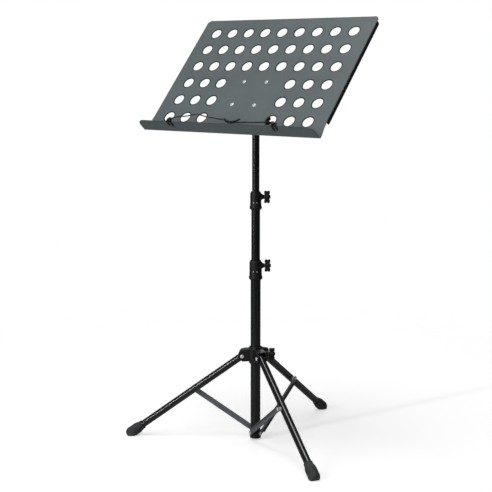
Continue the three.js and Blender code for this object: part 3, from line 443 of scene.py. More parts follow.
def rim_shade_effect():
    """A mask of painted shade that rises towards each punched hole, found from their even pitch, and each fold."""
    tree, given, out = effect("painted_rim_shade", [("Width", FLOAT, 1.6)], [("Mask", FLOAT)])
    place = node(tree, "ShaderNodeTexCoord").outputs["Object"]
    shift, turn, size = desk_place.inverted().decompose()
    flat = node(tree, "ShaderNodeMapping", Vector=place, Location=shift, Rotation=turn.to_euler(),
                Scale=size)
    sheet = node(tree, "ShaderNodeSeparateXYZ", Vector=flat.outputs["Vector"])
    across = maths(tree, "DIVIDE", sheet.outputs["X"], HOLE_PITCH[0])
    down = maths(tree, "SUBTRACT", HOLE_TOP_ROW, sheet.outputs["Z"])
    down = maths(tree, "DIVIDE", down, HOLE_PITCH[1])
    off = []
    for count, pitch in ((across, HOLE_PITCH[0]), (down, HOLE_PITCH[1])):
        part = maths(tree, "SUBTRACT", count, maths(tree, "ROUND", count))
        off.append(maths(tree, "MULTIPLY", part, pitch))
    reach = maths(tree, "SQRT", maths(tree, "ADD", maths(tree, "MULTIPLY", off[0], off[0]),
                                      maths(tree, "MULTIPLY", off[1], off[1])))
    from_edge = maths(tree, "SUBTRACT", reach, HOLE_RADIUS)
    fall = maths(tree, "DIVIDE", from_edge, given.outputs["Width"])
    near = maths(tree, "SUBTRACT", 1.0, fall, True)
    side = maths(tree, "ABSOLUTE", across)
    rows = maths(tree, "MULTIPLY", maths(tree, "GREATER_THAN", down, -0.5),
                 maths(tree, "LESS_THAN", down, HOLE_ROWS - 0.5))
    punched = maths(tree, "MULTIPLY", maths(tree, "LESS_THAN", side, EACH_SIDE + 0.5), rows)
    plain = maths(tree, "MULTIPLY", maths(tree, "LESS_THAN", side, PLAIN_EACH_SIDE + 0.5),
                  maths(tree, "GREATER_THAN", down, FULL_ROWS - 0.5))
    hole = maths(tree, "MULTIPLY", near, maths(tree, "SUBTRACT", punched, plain), True)
    spread = maths(tree, "ABSOLUTE", sheet.outputs["X"])
    folds = maths(tree, "MAXIMUM", maths(tree, "SUBTRACT", spread, DESK_HALF),
                  maths(tree, "SUBTRACT", sheet.outputs["Z"], DESK_TOP))
    fold = maths(tree, "ADD", maths(tree, "DIVIDE", folds, given.outputs["Width"]), 1.0, True)
    above = maths(tree, "GREATER_THAN", sheet.outputs["Z"], FLANGE_END)
    mask = maths(tree, "MAXIMUM", hole, maths(tree, "MULTIPLY", fold, above))
    tree.links.new(mask, out.inputs["Mask"])
    return tree


effects["painted_rim_shade"] = rim_shade_effect()


def slate_enamel():
    material, tree, shader = finish_shell("slate_enamel", Coat_Roughness=0.35, IOR=1.5)
    drift = use(tree, "mottle", Scale=9, Least=0, Most=1)
    base = mixed(tree, drift, colour("586264"), colour("616b6d"))
    dusty = mixed(tree, use(tree, "dust", Amount=0.25), base, colour("969d9f"))
    # Painted shade: the edge mask and the rim mask lay near-black round every hole and over the turned-back
    # flanges.
    edge = use(tree, "wear", Width=0.0022, Amount=0.9, Even=0.75)
    rim_shade = maths(tree, "MULTIPLY", use(tree, "painted_rim_shade", Width=3.2), 1.8, True)
    edged = mixed(tree, maths(tree, "MAXIMUM", edge, rim_shade), dusty, colour("161b1c"))
    tree.links.new(edged, shader.inputs["Base Color"])
    rough = use(tree, "mottle", Scale=26, Least=0.36, Most=0.5)
    tree.links.new(rough, shader.inputs["Roughness"])
    tree.links.new(use(tree, "mottle", Scale=5, Least=0.0, Most=0.1), shader.inputs["Coat Weight"])
    relief(tree, shader, use(tree, "grain", Scale=700, Sharpness=0.25), 0.012)
    return material


def desk_blank():
    """The punched sheet before folding: X across, Y up the desk."""
    shelf_length = FACE + SHEET - FOLD_RADIUS - SHELF_EDGE
    fold_start = SHELF_UNDER + FOLD_RADIUS
    foot = fold_start - (FOLD_RADIUS - SHEET / 2) * math.pi / 2 - shelf_length
    bend = (FLANGE_RADIUS - SHEET / 2) * math.pi / 2
    flange = FLANGE_BACK - FACE - FLANGE_RADIUS
    side = DESK_HALF - FLANGE_RADIUS + bend + flange
    top = DESK_TOP - FLANGE_RADIUS + bend + flange
    slot_depth = 0.6  # of the relief slots beyond the bends
    slot_width = 1.4
    relief_in = DESK_HALF - FLANGE_RADIUS - slot_depth
    relief_up = DESK_TOP - FLANGE_RADIUS - slot_depth
    corner_x = DESK_HALF - DESK_CORNER
    corner_y = DESK_TOP - DESK_CORNER
    right = [
        (TAB_HALF, foot, SHELF_CORNER),
        (TAB_HALF, SHELF_UNDER + 9, 10),
        (DESK_HALF - 0.4, SHELF_UNDER + 30, 14),
        (DESK_HALF - 0.4, FLANGE_END - slot_width, 0.8),
        (relief_in, FLANGE_END - slot_width, 0.6),
        (relief_in, FLANGE_END, 0.6),
        (side, FLANGE_END, 4),
        (side, corner_y - slot_width, 4),
        (relief_in, corner_y - slot_width, 0.6),
        (relief_in, corner_y, 0.6),
        (DESK_HALF - 0.5, corner_y, 0.3),
        (DESK_HALF - 0.5, DESK_TOP - 0.5, DESK_CORNER),
        (corner_x, DESK_TOP - 0.5, 0.3),
        (corner_x, relief_up, 0.6),
        (corner_x - slot_width, relief_up, 0.6),
        (corner_x - slot_width, top, 4),
    ]
    left = [(-x, y, r) for x, y, r in reversed(right)]
    holes = []
    for row in range(HOLE_ROWS):
        for column in range(-EACH_SIDE, EACH_SIDE + 1):
            if row < FULL_ROWS or abs(column) > PLAIN_EACH_SIDE:
                x = column * HOLE_PITCH[0]
                holes.append(circle(x, HOLE_TOP_ROW - row * HOLE_PITCH[1], HOLE_RADIUS, 44))
    holes += [circle(x, z, RIVET_HOLE, 16) for x, z in RIVETS]
    return cut_sheet([rounded(right + left, 0, 7), *holes], SHEET, 0.22)


def fold_desk(mesh):
    """Bends the side and top flanges back and the foot forward into the shelf."""
    middle = SHEET / 2
    flange_radius = FLANGE_RADIUS - middle
    side_start = DESK_HALF - FLANGE_RADIUS
    top_start = DESK_TOP - FLANGE_RADIUS
    fold_radius = FOLD_RADIUS - middle
    fold_start = SHELF_UNDER + FOLD_RADIUS
    sliced(mesh, 0, bend_places(side_start, flange_radius))
    sliced(mesh, 0, bend_places(-side_start, flange_radius, -1))
    sliced(mesh, 1, bend_places(top_start, flange_radius))
    sliced(mesh, 1, bend_places(fold_start, fold_radius, -1))
    for point in mesh.vertices:
        x, up, offset = point.co
        back = FACE + middle + offset
        flanged = FLANGE_END - 0.01 < up < DESK_TOP - DESK_CORNER - 0.5
        if abs(x) > side_start and flanged:
            out, lift = folded(abs(x), offset, side_start, flange_radius)
            point.co = (math.copysign(out, x), FACE + middle + lift, up)
        elif up > top_start and abs(x) < DESK_HALF - DESK_CORNER - 0.5:
            out, lift = folded(up, offset, top_start, flange_radius)
            point.co = (x, FACE + middle + lift, out)
        elif up < fold_start:
            out, lift = folded(-up, -offset, -fold_start, fold_radius)
            point.co = (x, FACE + middle - lift, -out)
        else:
            point.co = (x, back, up)


enamel = slate_enamel()
desk_mesh = desk_blank()
fold_desk(desk_mesh)
tidied(desk_mesh)
finished("desk_sheet", desk_mesh, desk_place, enamel, "desk", "slate_enamel", "desk_plate")

# ---- Desk bracket -------------------------------------------------------------------------------
# A channel pressed from 2 mm steel and enamelled black: its plate is riveted to the back of the
# desk and its two ears hold the tilt bolt.
GAP = 0.3  # clearance between neighbouring pieces
BRACKET_SHEET = 2
BRACKET_HALF = 40
BRACKET_TOP = 65.45
BRACKET_FOOT = -16.05
EAR_OUTSIDE = 14.1
EAR_RADIUS = 12
TILT_HOLE = 3.3


def layered(name, shades, dust, wear, rough, grain, **fixed):
    """A finish that drifts between two shades, under dust and edge wear, with gloss and relief.

    Each is given as a scale and two shades, an amount and a shade, a width, an amount and a shade,
    a scale with a least and a most value, and a scale, a sharpness and a depth.
    """
    material, tree, shader = finish_shell(name, **fixed)
    scale, first, second = shades
    drift = use(tree, "mottle", Scale=scale, Least=0, Most=1)
    top = mixed(tree, drift, colour(first), colour(second))
    if dust:
        amount, shade = dust
        top = mixed(tree, use(tree, "dust", Amount=amount), top, colour(shade))
    if wear:
        width, amount, shade = wear
        top = mixed(tree, use(tree, "wear", Width=width, Amount=amount), top, colour(shade))
    tree.links.new(top, shader.inputs["Base Color"])
    scale, least, most = rough
    gloss = use(tree, "mottle", Scale=scale, Least=least, Most=most)
    tree.links.new(gloss, shader.inputs["Roughness"])
    scale, sharpness, depth = grain
    relief(tree, shader, use(tree, "grain", Scale=scale, Sharpness=sharpness), depth)
    return material, tree, shader


def black_enamel(name, least, most, coat):
    """Black enamel between a least and a most roughness, under a clear coat that varies."""
    material, tree, shader = layered(
        name, (14, "0d0f10", "16191b"), (0.12, "5f6261"), (0.0007, 0.55, "7d8082"),
        (38, least, most), (620, 0.2, 0.008), Coat_Roughness=0.12, IOR=1.5,
    )
    coated = use(tree, "mottle", Scale=11, Least=coat * 0.6, Most=coat)
    tree.links.new(coated, shader.inputs["Coat Weight"])
    return material


satin_black = black_enamel("satin_black_enamel", 0.24, 0.36, 0.25)


def bracket_plate():
    corners = [
        (-BRACKET_HALF, BRACKET_FOOT), (BRACKET_HALF, BRACKET_FOOT),
        (BRACKET_HALF, BRACKET_TOP), (-BRACKET_HALF, BRACKET_TOP),
    ]
    holes = [circle(x, z, RIVET_HOLE, 16) for x, z in RIVETS]
    plate = cut_sheet([rounded(corners, 7), *holes], BRACKET_SHEET, 0.4)
    plate.transform(moved(0, FACE + SHEET + GAP + BRACKET_SHEET / 2, 0) @ turned_about("X", 90))
    return plate


def upright(x):
    """Stands a sheet's X and Y up in Y and Z, at a place along X."""
    return Matrix(((0, 0, 1, x), (1, 0, 0, 0), (0, 1, 0, 0), (0, 0, 0, 1)))


def bracket_ear(x):
    """A cheek from the plate to the tilt bolt, its edge running round the bolt."""
    front = FACE + SHEET + 0.8
    start, end = -0.55 * math.pi, 0.4 * math.pi
    steps = 18
    nose = [
        (EAR_RADIUS * math.cos(t), EAR_RADIUS * math.sin(t))
        for t in (start + (end - start) * k / steps for k in range(steps + 1))
    ]
    ear_top = BRACKET_TOP - 6
    shoulder = (FACE + SHEET + 11, ear_top)
    outline = [(front, ear_top), (front, BRACKET_FOOT + 1), *nose, shoulder]
    ear = cut_sheet([outline, circle(0, 0, TILT_HOLE, 24)], BRACKET_SHEET, 0.4)
    ear.transform(upright(x))
    return ear


def gathered(*meshes):
    """Several closed shells as one mesh."""
    work = bmesh.new()
    for mesh in meshes:
        work.from_mesh(mesh)
    made = bpy.data.meshes.new("work")
    work.to_mesh(made)
    work.free()
    return made


ear_middle = EAR_OUTSIDE - BRACKET_SHEET / 2
bracket = gathered(bracket_plate(), bracket_ear(ear_middle), bracket_ear(-ear_middle))
finished("bracket", bracket, desk_place, satin_black, "desk", "black_enamel", "desk_bracket")

# ---- Desk rivets --------------------------------------------------------------------------------
# Four bright zinc-plated steel rivets through desk and bracket, domed in front and set behind.
RIVET_HEAD = 4.5
RIVET_HEAD_HEIGHT = 1.6
RIVET_SHANK = 2.2
RIVET_SET_HEAD = 3.6
RIVET_SET_HEIGHT = 1.3


def sheet_of(points, faces):
    mesh = bpy.data.meshes.new("work")
    mesh.from_pydata(points, [], faces)
    return mesh


def turned(profile, sides=48):
    """A solid turned about Z from a closed profile of [radius, z]."""
    points, rings, faces = [], [], []
    for radius, z in profile:
        if radius < 1e-6:
            rings.append([len(points)] * sides)
            points.append((0, 0, z))
            continue
        rings.append(list(range(len(points), len(points) + sides)))
        points += [(x, y, z) for x, y in circle(0, 0, radius, sides)]
    for lower, upper in zip(rings, rings[1:] + rings[:1]):
        for k in range(sides):
            corners = [lower[k - 1], lower[k], upper[k], upper[k - 1]]
            kept = [c for i, c in enumerate(corners) if c != corners[i - 1]]
            if len(kept) > 2 and len(set(kept)) > 2:
                faces.append(kept)
    mesh = sheet_of(points, faces)
    tidied(mesh)
    return mesh


def soft_turned(profile, radius, sides=48):
    """As turned, with the profile's corners rounded."""
    return turned(rounded(profile, radius, 3), sides)


def dome(radius, foot, height, steps=6):
    """Profile points of a domed head from its rim to its top."""
    turns = [math.pi / 2 * k / steps for k in range(steps + 1)]
    return [(radius * math.cos(t), foot + height * math.sin(t)) for t in turns[:-1]] + [
        (0, foot + height)
    ]


def rivet(head, height, shank, length, back_head, back_height):
    """Its front head stands up from z = 0 and its shank goes down to its set end."""
    front = [(head, 0)] + dome(head, 0.35, height - 0.35)
    back = [(x, -length - z) for x, z in dome(back_head, 0.2, back_height - 0.2)]
    return turned([*front, *reversed(back), (back_head, -length), (shank, -length), (shank, 0)], 28)


# A faintly blue, mottled plating that dulls in patches; its near-white shades with little metal are partly its own
# pale colour and partly a painted reflection, as reflections here see a dim room.
zinc, *_ = layered(
    "bright_zinc", (240, "e2e4e7", "f4f5f6"), (0.2, "9a9b99"), None,
    (190, 0.2, 0.42), (1500, 0.2, 0.006), Metallic=0.35,
)
for number, (x, z) in enumerate(RIVETS, 1):
    gripped = SHEET + BRACKET_SHEET + 3 * GAP
    mesh = rivet(RIVET_HEAD, RIVET_HEAD_HEIGHT, RIVET_SHANK, gripped,
                 RIVET_SET_HEAD, RIVET_SET_HEIGHT)
    place = desk_place @ moved(x, FACE - GAP, z) @ turned_about("X", 90)
    name = f"desk_rivet_{number}"
    finished(f"set_{name}", mesh, place, zinc, "desk", "bright_steel", name)

# ---- Page clips ---------------------------------------------------------------------------------
# Spring-steel clips pushed on the shelf's front edge: a short tongue above, two prongs below and
# a riveted stud in front that the page arm turns on. Black enamel.
CLIP_THICKNESS = 2
CLIP_X = (-9.1, 3.4)
PRONG_WIDTH = 3.2
STUD_RADIUS = 1.8
STUD_HEAD = 3.4
EYE_THICKNESS = 2.5
CLIP_FRONT = -GAP - CLIP_THICKNESS
CLIP_LUG_TOP = 2.8  # of the lug that holds the stud
TONGUE_END = 7
LONG_PRONG_END = 15
SHORT_PRONG_END = 12
ARM_PLANE = CLIP_FRONT - GAP - EYE_THICKNESS / 2
ARM_PIVOT_OVER_SHELF = 3


def strip(outline, x_from, x_to, edge=0.35):
    """An outline in Y and Z, given its width along X."""
    made = cut_sheet([outline], x_to - x_from, edge)
    middle = (x_from + x_to) / 2
    made.transform(upright(middle))
    return made


def page_clip():
    """The origin is on the arm's pivot at the shelf's front edge; X runs inwards."""
    shelf_top = -ARM_PIVOT_OVER_SHELF
    shelf_under = shelf_top - SHEET
    foot = shelf_under - GAP - CLIP_THICKNESS
    tongue = shelf_top + GAP
    top = tongue + CLIP_THICKNESS
    jaw = [
        (CLIP_FRONT, foot), (-GAP, foot), (-GAP, tongue), (TONGUE_END, tongue),
        (TONGUE_END, top), (-GAP, top), (-GAP, CLIP_LUG_TOP), (CLIP_FRONT, CLIP_LUG_TOP),
    ]
    long_prong = [
        (CLIP_FRONT, foot), (LONG_PRONG_END, foot),
        (LONG_PRONG_END, foot + CLIP_THICKNESS), (CLIP_FRONT, foot + CLIP_THICKNESS),
    ]
    short_prong = [(min(y, SHORT_PRONG_END), z) for y, z in long_prong]
    stud_end = ARM_PLANE - EYE_THICKNESS / 2 - GAP
    stud = turned([
        (0, -CLIP_FRONT - 0.5), (STUD_RADIUS, -CLIP_FRONT - 0.5), (STUD_RADIUS, -stud_end),
        *dome(STUD_HEAD, -stud_end, 1.2),
    ], 28)
    stud.transform(turned_about("X", 90))
    return gathered(
        strip(rounded(jaw, 0.5, 3), *CLIP_X),
        strip(rounded(long_prong, 0.9, 4), CLIP_X[1] - PRONG_WIDTH, CLIP_X[1]),
        strip(rounded(short_prong, 0.9, 4), CLIP_X[0], CLIP_X[0] + PRONG_WIDTH),
        stud,
    )


def arm_place(side):
    """The frame of one clip and its arm; the right-hand one is the mirror of the left."""
    arm_pivot = desk_place.inverted() @ (in_metres @ pivot(f"{side}_arm_swing"))
    at = desk_place @ moved(arm_pivot.x, SHELF_EDGE, arm_pivot.z)
    return at if side == "left" else at @ Matrix.Diagonal((-1, 1, 1, 1))


for side in ("left", "right"):
    name = f"page_clip_{side}"
    finished(f"sprung_{name}", page_clip(), arm_place(side), satin_black, "desk", "black_enamel",
             name)

# ---- Page arms ----------------------------------------------------------------------------------
# Two arms of 2.5 mm spring wire, enamelled black, each with an eye round its stud. They lean back
# over the shelf to hold the pages, and their tips, in soft vinyl sleeves, turn up near each other.
WIRE_RADIUS = 1.25
SLEEVE_OVER_WIRE = 0.75
EYE_RADIUS = 4.6
ARMS = {
    "left": [(34, 17, 9.5), (51, 25.5, 14), (83, 22.5, 17), (107, 21.3, 20), (127, 20.3, 22),
             (146, 17.5, 23.5), (156, 19, 24), (166, 25.5, 24)],
    "right": [(30, 6.5, 7), (53, 9.5, 12), (97, 11.5, 17), (120, 11.2, 19), (132, 11.6, 19.5),
              (141, 15, 19.5), (148, 21.5, 19.5)],
}
FIRST_REACH = {"left": (10, 6, 1.5), "right": (12, 3.5, 1.5)}


def round_wire(places, radius, sides=14):
    """A wire of round section along a smooth line through the places, with rounded ends."""
    curve = bpy.data.curves.new("work", "CURVE")
    curve.dimensions = "3D"
    curve.bevel_depth = radius
    curve.bevel_resolution = sides // 4
    curve.use_fill_caps = True
    spline = curve.splines.new("BEZIER")
    spline.bezier_points.add(len(places) - 1)
    spline.resolution_u = 8
    for point, place in zip(spline.bezier_points, places):
        point.co = place
        point.handle_left_type = point.handle_right_type = "AUTO"
    tube = baked(linked(curve))
    tip = turned([(0, -radius * 0.9), *dome(radius, 0, radius * 0.8)], sides)
    last, before = Vector(places[-1]), Vector(places[-2])
    onwards = (last - before).to_track_quat("Z", "Y").to_matrix().to_4x4()
    tip.transform(Matrix.Translation(last) @ onwards)
    return gathered(tube, tip)


def page_arm(side):
    """The wire goes once round the stud and then out along the shelf."""
    loop = EYE_RADIUS - WIRE_RADIUS
    turns = [math.radians(a) for a in range(60, 301, 30)]
    eye = [(loop * math.cos(t), ARM_PLANE, loop * math.sin(t)) for t in turns]
    closing = [(0.4, ARM_PLANE, -loop), (2.4, ARM_PLANE, -2.3), (3.3, ARM_PLANE, 0.2)]
    leaving = [(2.6, ARM_PLANE, -1.6), (3.9, ARM_PLANE, 0.9)]
    reach = [(x, ARM_PLANE + back, up) for x, up, back in (FIRST_REACH[side], *ARMS[side])]
    ring = round_wire([*eye, *closing], WIRE_RADIUS)
    return gathered(ring, round_wire([*leaving, *reach], WIRE_RADIUS))


def tip_sleeve(side):
    """The vinyl sleeve on the last 20 mm, and a short stop ring further down the wire."""
    near, *last = [(x, ARM_PLANE + back, up) for x, up, back in ARMS[side][-4:]]
    near, far = Vector(near), Vector(last[0])
    radius = WIRE_RADIUS + SLEEVE_OVER_WIRE
    ring = round_wire([near.lerp(far, 0.3), near.lerp(far, 0.6)], radius)
    return gathered(ring, round_wire(last, radius))


for side in ("left", "right"):
    place = arm_place(side)
    finished(f"vinyl_tip_{side}", tip_sleeve(side), place, satin_black, f"arm_{side}",
             "black_enamel")
    name = f"page_wire_{side}"
    finished(f"sprung_{name}", page_arm(side), place, satin_black, f"arm_{side}",
             "black_enamel", name)

# ---- Tilt head ----------------------------------------------------------------------------------
# A black moulded block on the upper tube, between the bracket's ears. A steel bolt runs through
# ears, washers and block, and a wing knob on its end pinches them together.
HEAD_HALF = 10
HEAD_RADIUS = 11.5
HEAD_FOOT = -14  # the block's foot and the end of the tube, under the tilt axis
SLEEVE_FOOT = -30
SLEEVE_RADIUS = 10.9
UPPER_RADIUS = 8
BOLT_RADIUS = 3
BOLT_HEAD_RADIUS = 5.8
BOLT_HEAD_THICKNESS = 4
WASHER_RADIUS = 10.5
WASHER_THICKNESS = 1.5
TILT_WINGS = {"stem": 6, "span": 29, "width": 17}
WING_THICKNESS = 7
KNOB_HUB_RADIUS = 5.4
KNOB_NOSE = 1.2  # the knob's hub stands out of its wings by this
SCREW_IN_KNOB = 9


def moulded(solids, cutters, voxel, soften=6):
    """Solids grown into one moulding, with the cutters taken out and the edges eased."""
    piece = linked(gathered(*solids))
    grow = piece.modifiers.new("grow", "REMESH")
    grow.mode = "VOXEL"
    grow.voxel_size = voxel
    tools = [linked(mesh, "cutter") for mesh in cutters]
    for tool in tools:
        bite = piece.modifiers.new("bite", "BOOLEAN")
        bite.operation = "DIFFERENCE"
        bite.solver = "FAST"
        bite.object = tool
    again = piece.modifiers.new("again", "REMESH")
    again.mode = "VOXEL"
    again.voxel_size = voxel
    ease = piece.modifiers.new("ease", "SMOOTH")
    ease.factor = 0.5
    ease.iterations = soften
    mesh = baked(piece)
    for tool in tools:
        bpy.data.objects.remove(tool)
    return mesh


def along_x(mesh, at=0):
    mesh.transform(moved(at, 0, 0) @ turned_about("Y", 90))
    return mesh


def along_y(mesh, at=0):
    mesh.transform(moved(0, at, 0) @ turned_about("X", -90))
    return mesh


def rod(radius, start, end, sides=32):
    return turned([(0, start), (radius, start), (radius, end), (0, end)], sides)


def slab(outline, thickness, edge=0.3):
    """An outline in X and Z, given its thickness across the plane y = 0."""
    made = cut_sheet([outline], thickness, edge)
    made.transform(turned_about("X", 90))
    return made


# Black moulded plastic with a fine spark-eroded texture, rubbed at its edges, and natural nylon.
plastic, *_ = layered(
    "black_plastic", (60, "0d0f10", "161819"), (0.22, "6a6c6b"), (0.0009, 0.5, "4b4e50"),
    (85, 0.34, 0.56), (1900, 0.7, 0.035), IOR=1.46,
)
nylon, *_ = layered(
    "natural_nylon", (70, "cfcabb", "dedaca"), None, None, (90, 0.4, 0.6), (1200, 0.3, 0.01),
    IOR=1.53, Subsurface_Weight=0.15,
)


def tilt_head():
    turns = [math.pi * k / 24 for k in range(25)]
    crown = [(HEAD_RADIUS * math.cos(t), HEAD_RADIUS * math.sin(t)) for t in turns]
    side = [(-HEAD_RADIUS, HEAD_FOOT), (HEAD_RADIUS, HEAD_FOOT), *crown]
    block = strip(side, -HEAD_HALF, HEAD_HALF, 0.8)
    sleeve = soft_turned([
        (0, SLEEVE_FOOT), (SLEEVE_RADIUS, SLEEVE_FOOT), (SLEEVE_RADIUS, HEAD_FOOT + 2),
        (0, HEAD_FOOT + 2),
    ], 1.2)
    socket = rod(UPPER_RADIUS + GAP, SLEEVE_FOOT - 1, HEAD_FOOT + GAP)
    hole = along_x(rod(BOLT_RADIUS + GAP, -HEAD_HALF - 2, HEAD_HALF + 2))
    return moulded([block, sleeve], [socket, hole], 0.55, 4)


def washer(start):
    end = start + WASHER_THICKNESS
    profile = [(TILT_HOLE, start), (WASHER_RADIUS, start), (WASHER_RADIUS, end), (TILT_HOLE, end)]
    return along_x(soft_turned(profile, 0.3))


def thread(radius, start, end, pitch=0.8, sides=24, steps=7):
    """A threaded rod along Z: its skin rises and falls along a helix."""
    rows = max(2, round((end - start) / pitch * steps))
    points, faces = [], []
    for row in range(rows + 1):
        z = start + (end - start) * row / rows
        fade = min(1, (end - z) / pitch)
        for k in range(sides):
            turn = 2 * math.pi * k / sides
            phase = (z / pitch - k / sides) % 1
            reach = radius - 0.48 * pitch * abs(2 * phase - 1) - 0.5 * (1 - fade)
            points.append((reach * math.cos(turn), reach * math.sin(turn), z))
    for row in range(rows):
        for k in range(sides):
            a, b = row * sides + k, row * sides + (k + 1) % sides
            faces.append((a, b, b + sides, a + sides))
    faces.append(tuple(reversed(range(sides))))
    faces.append(tuple(range(rows * sides, rows * sides + sides)))
    mesh = sheet_of(points, faces)
    tidied(mesh)
    return mesh


def tilt_bolt():
    """A hexagon-headed bolt, plain through the head and threaded into the knob."""
    under_head = -EAR_OUTSIDE - GAP
    corners = circle(0, 0, BOLT_HEAD_RADIUS, 6)
    head = cut_sheet([rounded(corners, 0.4, 3)], BOLT_HEAD_THICKNESS, 0.5)
    head.transform(moved(0, 0, under_head - BOLT_HEAD_THICKNESS / 2))
    shank = rod(BOLT_RADIUS, under_head - 0.5, EAR_OUTSIDE)
    end = thread(BOLT_RADIUS, EAR_OUTSIDE - 0.1, EAR_OUTSIDE + 9.2)
    return along_x(gathered(head, shank, end))


def wing_knob(stem, span, width, screw):
    """Its screw lies along X from the knob's foot; two wings stand in Z, waisted between."""
    half = span / 2
    edge = [(0.16, 0), (0.12, 0.32), (0, 0.58), (0, 0.84), (0.14, 1), (0.38, 0.97), (0.5, 0.86)]
    upper = edge + [(1 - x, z) for x, z in reversed(edge[:-1])]
    lower = [(x, -z) for x, z in reversed(upper[1:-1])]
    shape = [(stem + x * width, z * half) for x, z in upper + lower]
    wings = slab(rounded(shape, 1.6, 5), WING_THICKNESS, 1.3)
    hub = along_x(soft_turned([
        (0, 0), (KNOB_HUB_RADIUS, 0), (KNOB_HUB_RADIUS, stem + width * 0.75),
        (KNOB_HUB_RADIUS * 0.6, stem + width + KNOB_NOSE), (0, stem + width + KNOB_NOSE),
    ], 0.8))
    bore = along_x(rod(screw + GAP, -1, SCREW_IN_KNOB + GAP, 20))
    return moulded([wings, hub], [bore], 0.42, 3)


finished("moulded_tilt_head", tilt_head(), tilt_place, plastic, "upper", "black_plastic",
         "tilt_head")
for side, start in (("right", HEAD_HALF + GAP), ("left", -HEAD_HALF - GAP - WASHER_THICKNESS)):
    name = f"tilt_washer_{side}"
    finished(f"nylon_{name}", washer(start), tilt_place, nylon, "upper", "pale_nylon", name)
finished("hex_tilt_bolt", tilt_bolt(), tilt_place, zinc, "upper", "bright_steel", "tilt_bolt")
knob_place = tilt_place @ moved(EAR_OUTSIDE + GAP, 0, 0)
finished("tilt_wing_knob", wing_knob(screw=BOLT_RADIUS, **TILT_WINGS), knob_place, plastic,
         "tilt_knob", "black_plastic", "tilt_knob")

# ---- Column tubes -------------------------------------------------------------------------------
# Three welded steel tubes of 1 mm wall, each running in the one below, enamelled satin black.
# The sliding ones are polished along their length by the collars' liners.
TUBE_WALL = 1
COLUMN = {"outer_tube": (11, "column"), "middle_tube": (9.5, "middle"), "upper_tube": (8, "upper")}


def pipe(radius, low, high, sides=64):
    inner = radius - TUBE_WALL
    return soft_turned([(inner, low), (radius, low), (radius, high), (inner, high)], 0.3, sides)


def slid_enamel():
    """Satin black enamel with fine vertical rub marks from sliding."""
    material, tree, shader = finish_shell("slid_black_enamel", Coat_Roughness=0.15, IOR=1.5)
    place = node(tree, "ShaderNodeTexCoord").outputs["Object"]
    stretch = node(tree, "ShaderNodeMapping", Vector=place, Scale=(900, 900, 9))
    rubs = node(tree, "ShaderNodeTexNoise", Vector=stretch.outputs["Vector"], Scale=1.0, Detail=4.0)
    streak = node(
        tree, "ShaderNodeMapRange", {"clamp": True}, Value=rubs.outputs["Fac"], From_Min=0.5,
        From_Max=0.8, To_Min=0.0, To_Max=0.5,
    ).outputs["Result"]
    base = mixed(tree, streak, colour("0c0e0f"), colour("212427"))
    edged = mixed(tree, use(tree, "wear", Width=0.0007, Amount=0.6), base, colour("8b8e90"))
    tree.links.new(edged, shader.inputs["Base Color"])
    rough = maths(tree, "SUBTRACT", use(tree, "mottle", Scale=30, Least=0.22, Most=0.34),
                  maths(tree, "MULTIPLY", streak, 0.2))
    tree.links.new(rough, shader.inputs["Roughness"])
    relief(tree, shader, use(tree, "grain", Scale=620, Sharpness=0.2), 0.008)
    return material


slid_black = slid_enamel()
for name, (radius, body) in COLUMN.items():
    finish = satin_black if name == "outer_tube" else slid_black
    mesh = pipe(radius, *heights(name))
    finished(f"drawn_{name}", mesh, column_place, finish, body, "black_enamel", name)

# ---- Guide plugs and liners ---------------------------------------------------------------------
# Inside the column: the plugs that guide the sliding tubes and the split rings that the clamp
# screws press on. They keep their plain turned shape.
INSIDE = {"middle_tube_plug": plastic, "upper_tube_plug": plastic, "lower_liner": nylon,
          "upper_liner": nylon}
for name, material in INSIDE.items():
    finishes = frame["nodes"][name].data.materials
    finishes.clear()
    finishes.append(material)

# ---- Clamp collars ------------------------------------------------------------------------------
# Black mouldings pressed on the tube ends and held by small rivets in two pairs. Each has a
# rolled rim at its foot, two fine beads over the rim and a boss for its clamp screw.
COLLAR_WALL = 2.6
COLLAR_RIM = 1.3
COLLAR_HEAD = 20
COLLAR_SHOULDER = COLLAR_HEAD - 4.8
LINER_FOOT = 1.4
LINER_TOP = 17
LINER_ROOM = 1.8  # over the sliding tube, for the liner
CLAMP_HEIGHT = 8
SCREW_HOLE = 2.8
NOSE_RADIUS = 4.8
NOSE_REACH = 6
COLLARS = {"lower": ("outer_tube", 11, 9.5, "column"), "upper": ("middle_tube", 9.5, 8, "middle")}


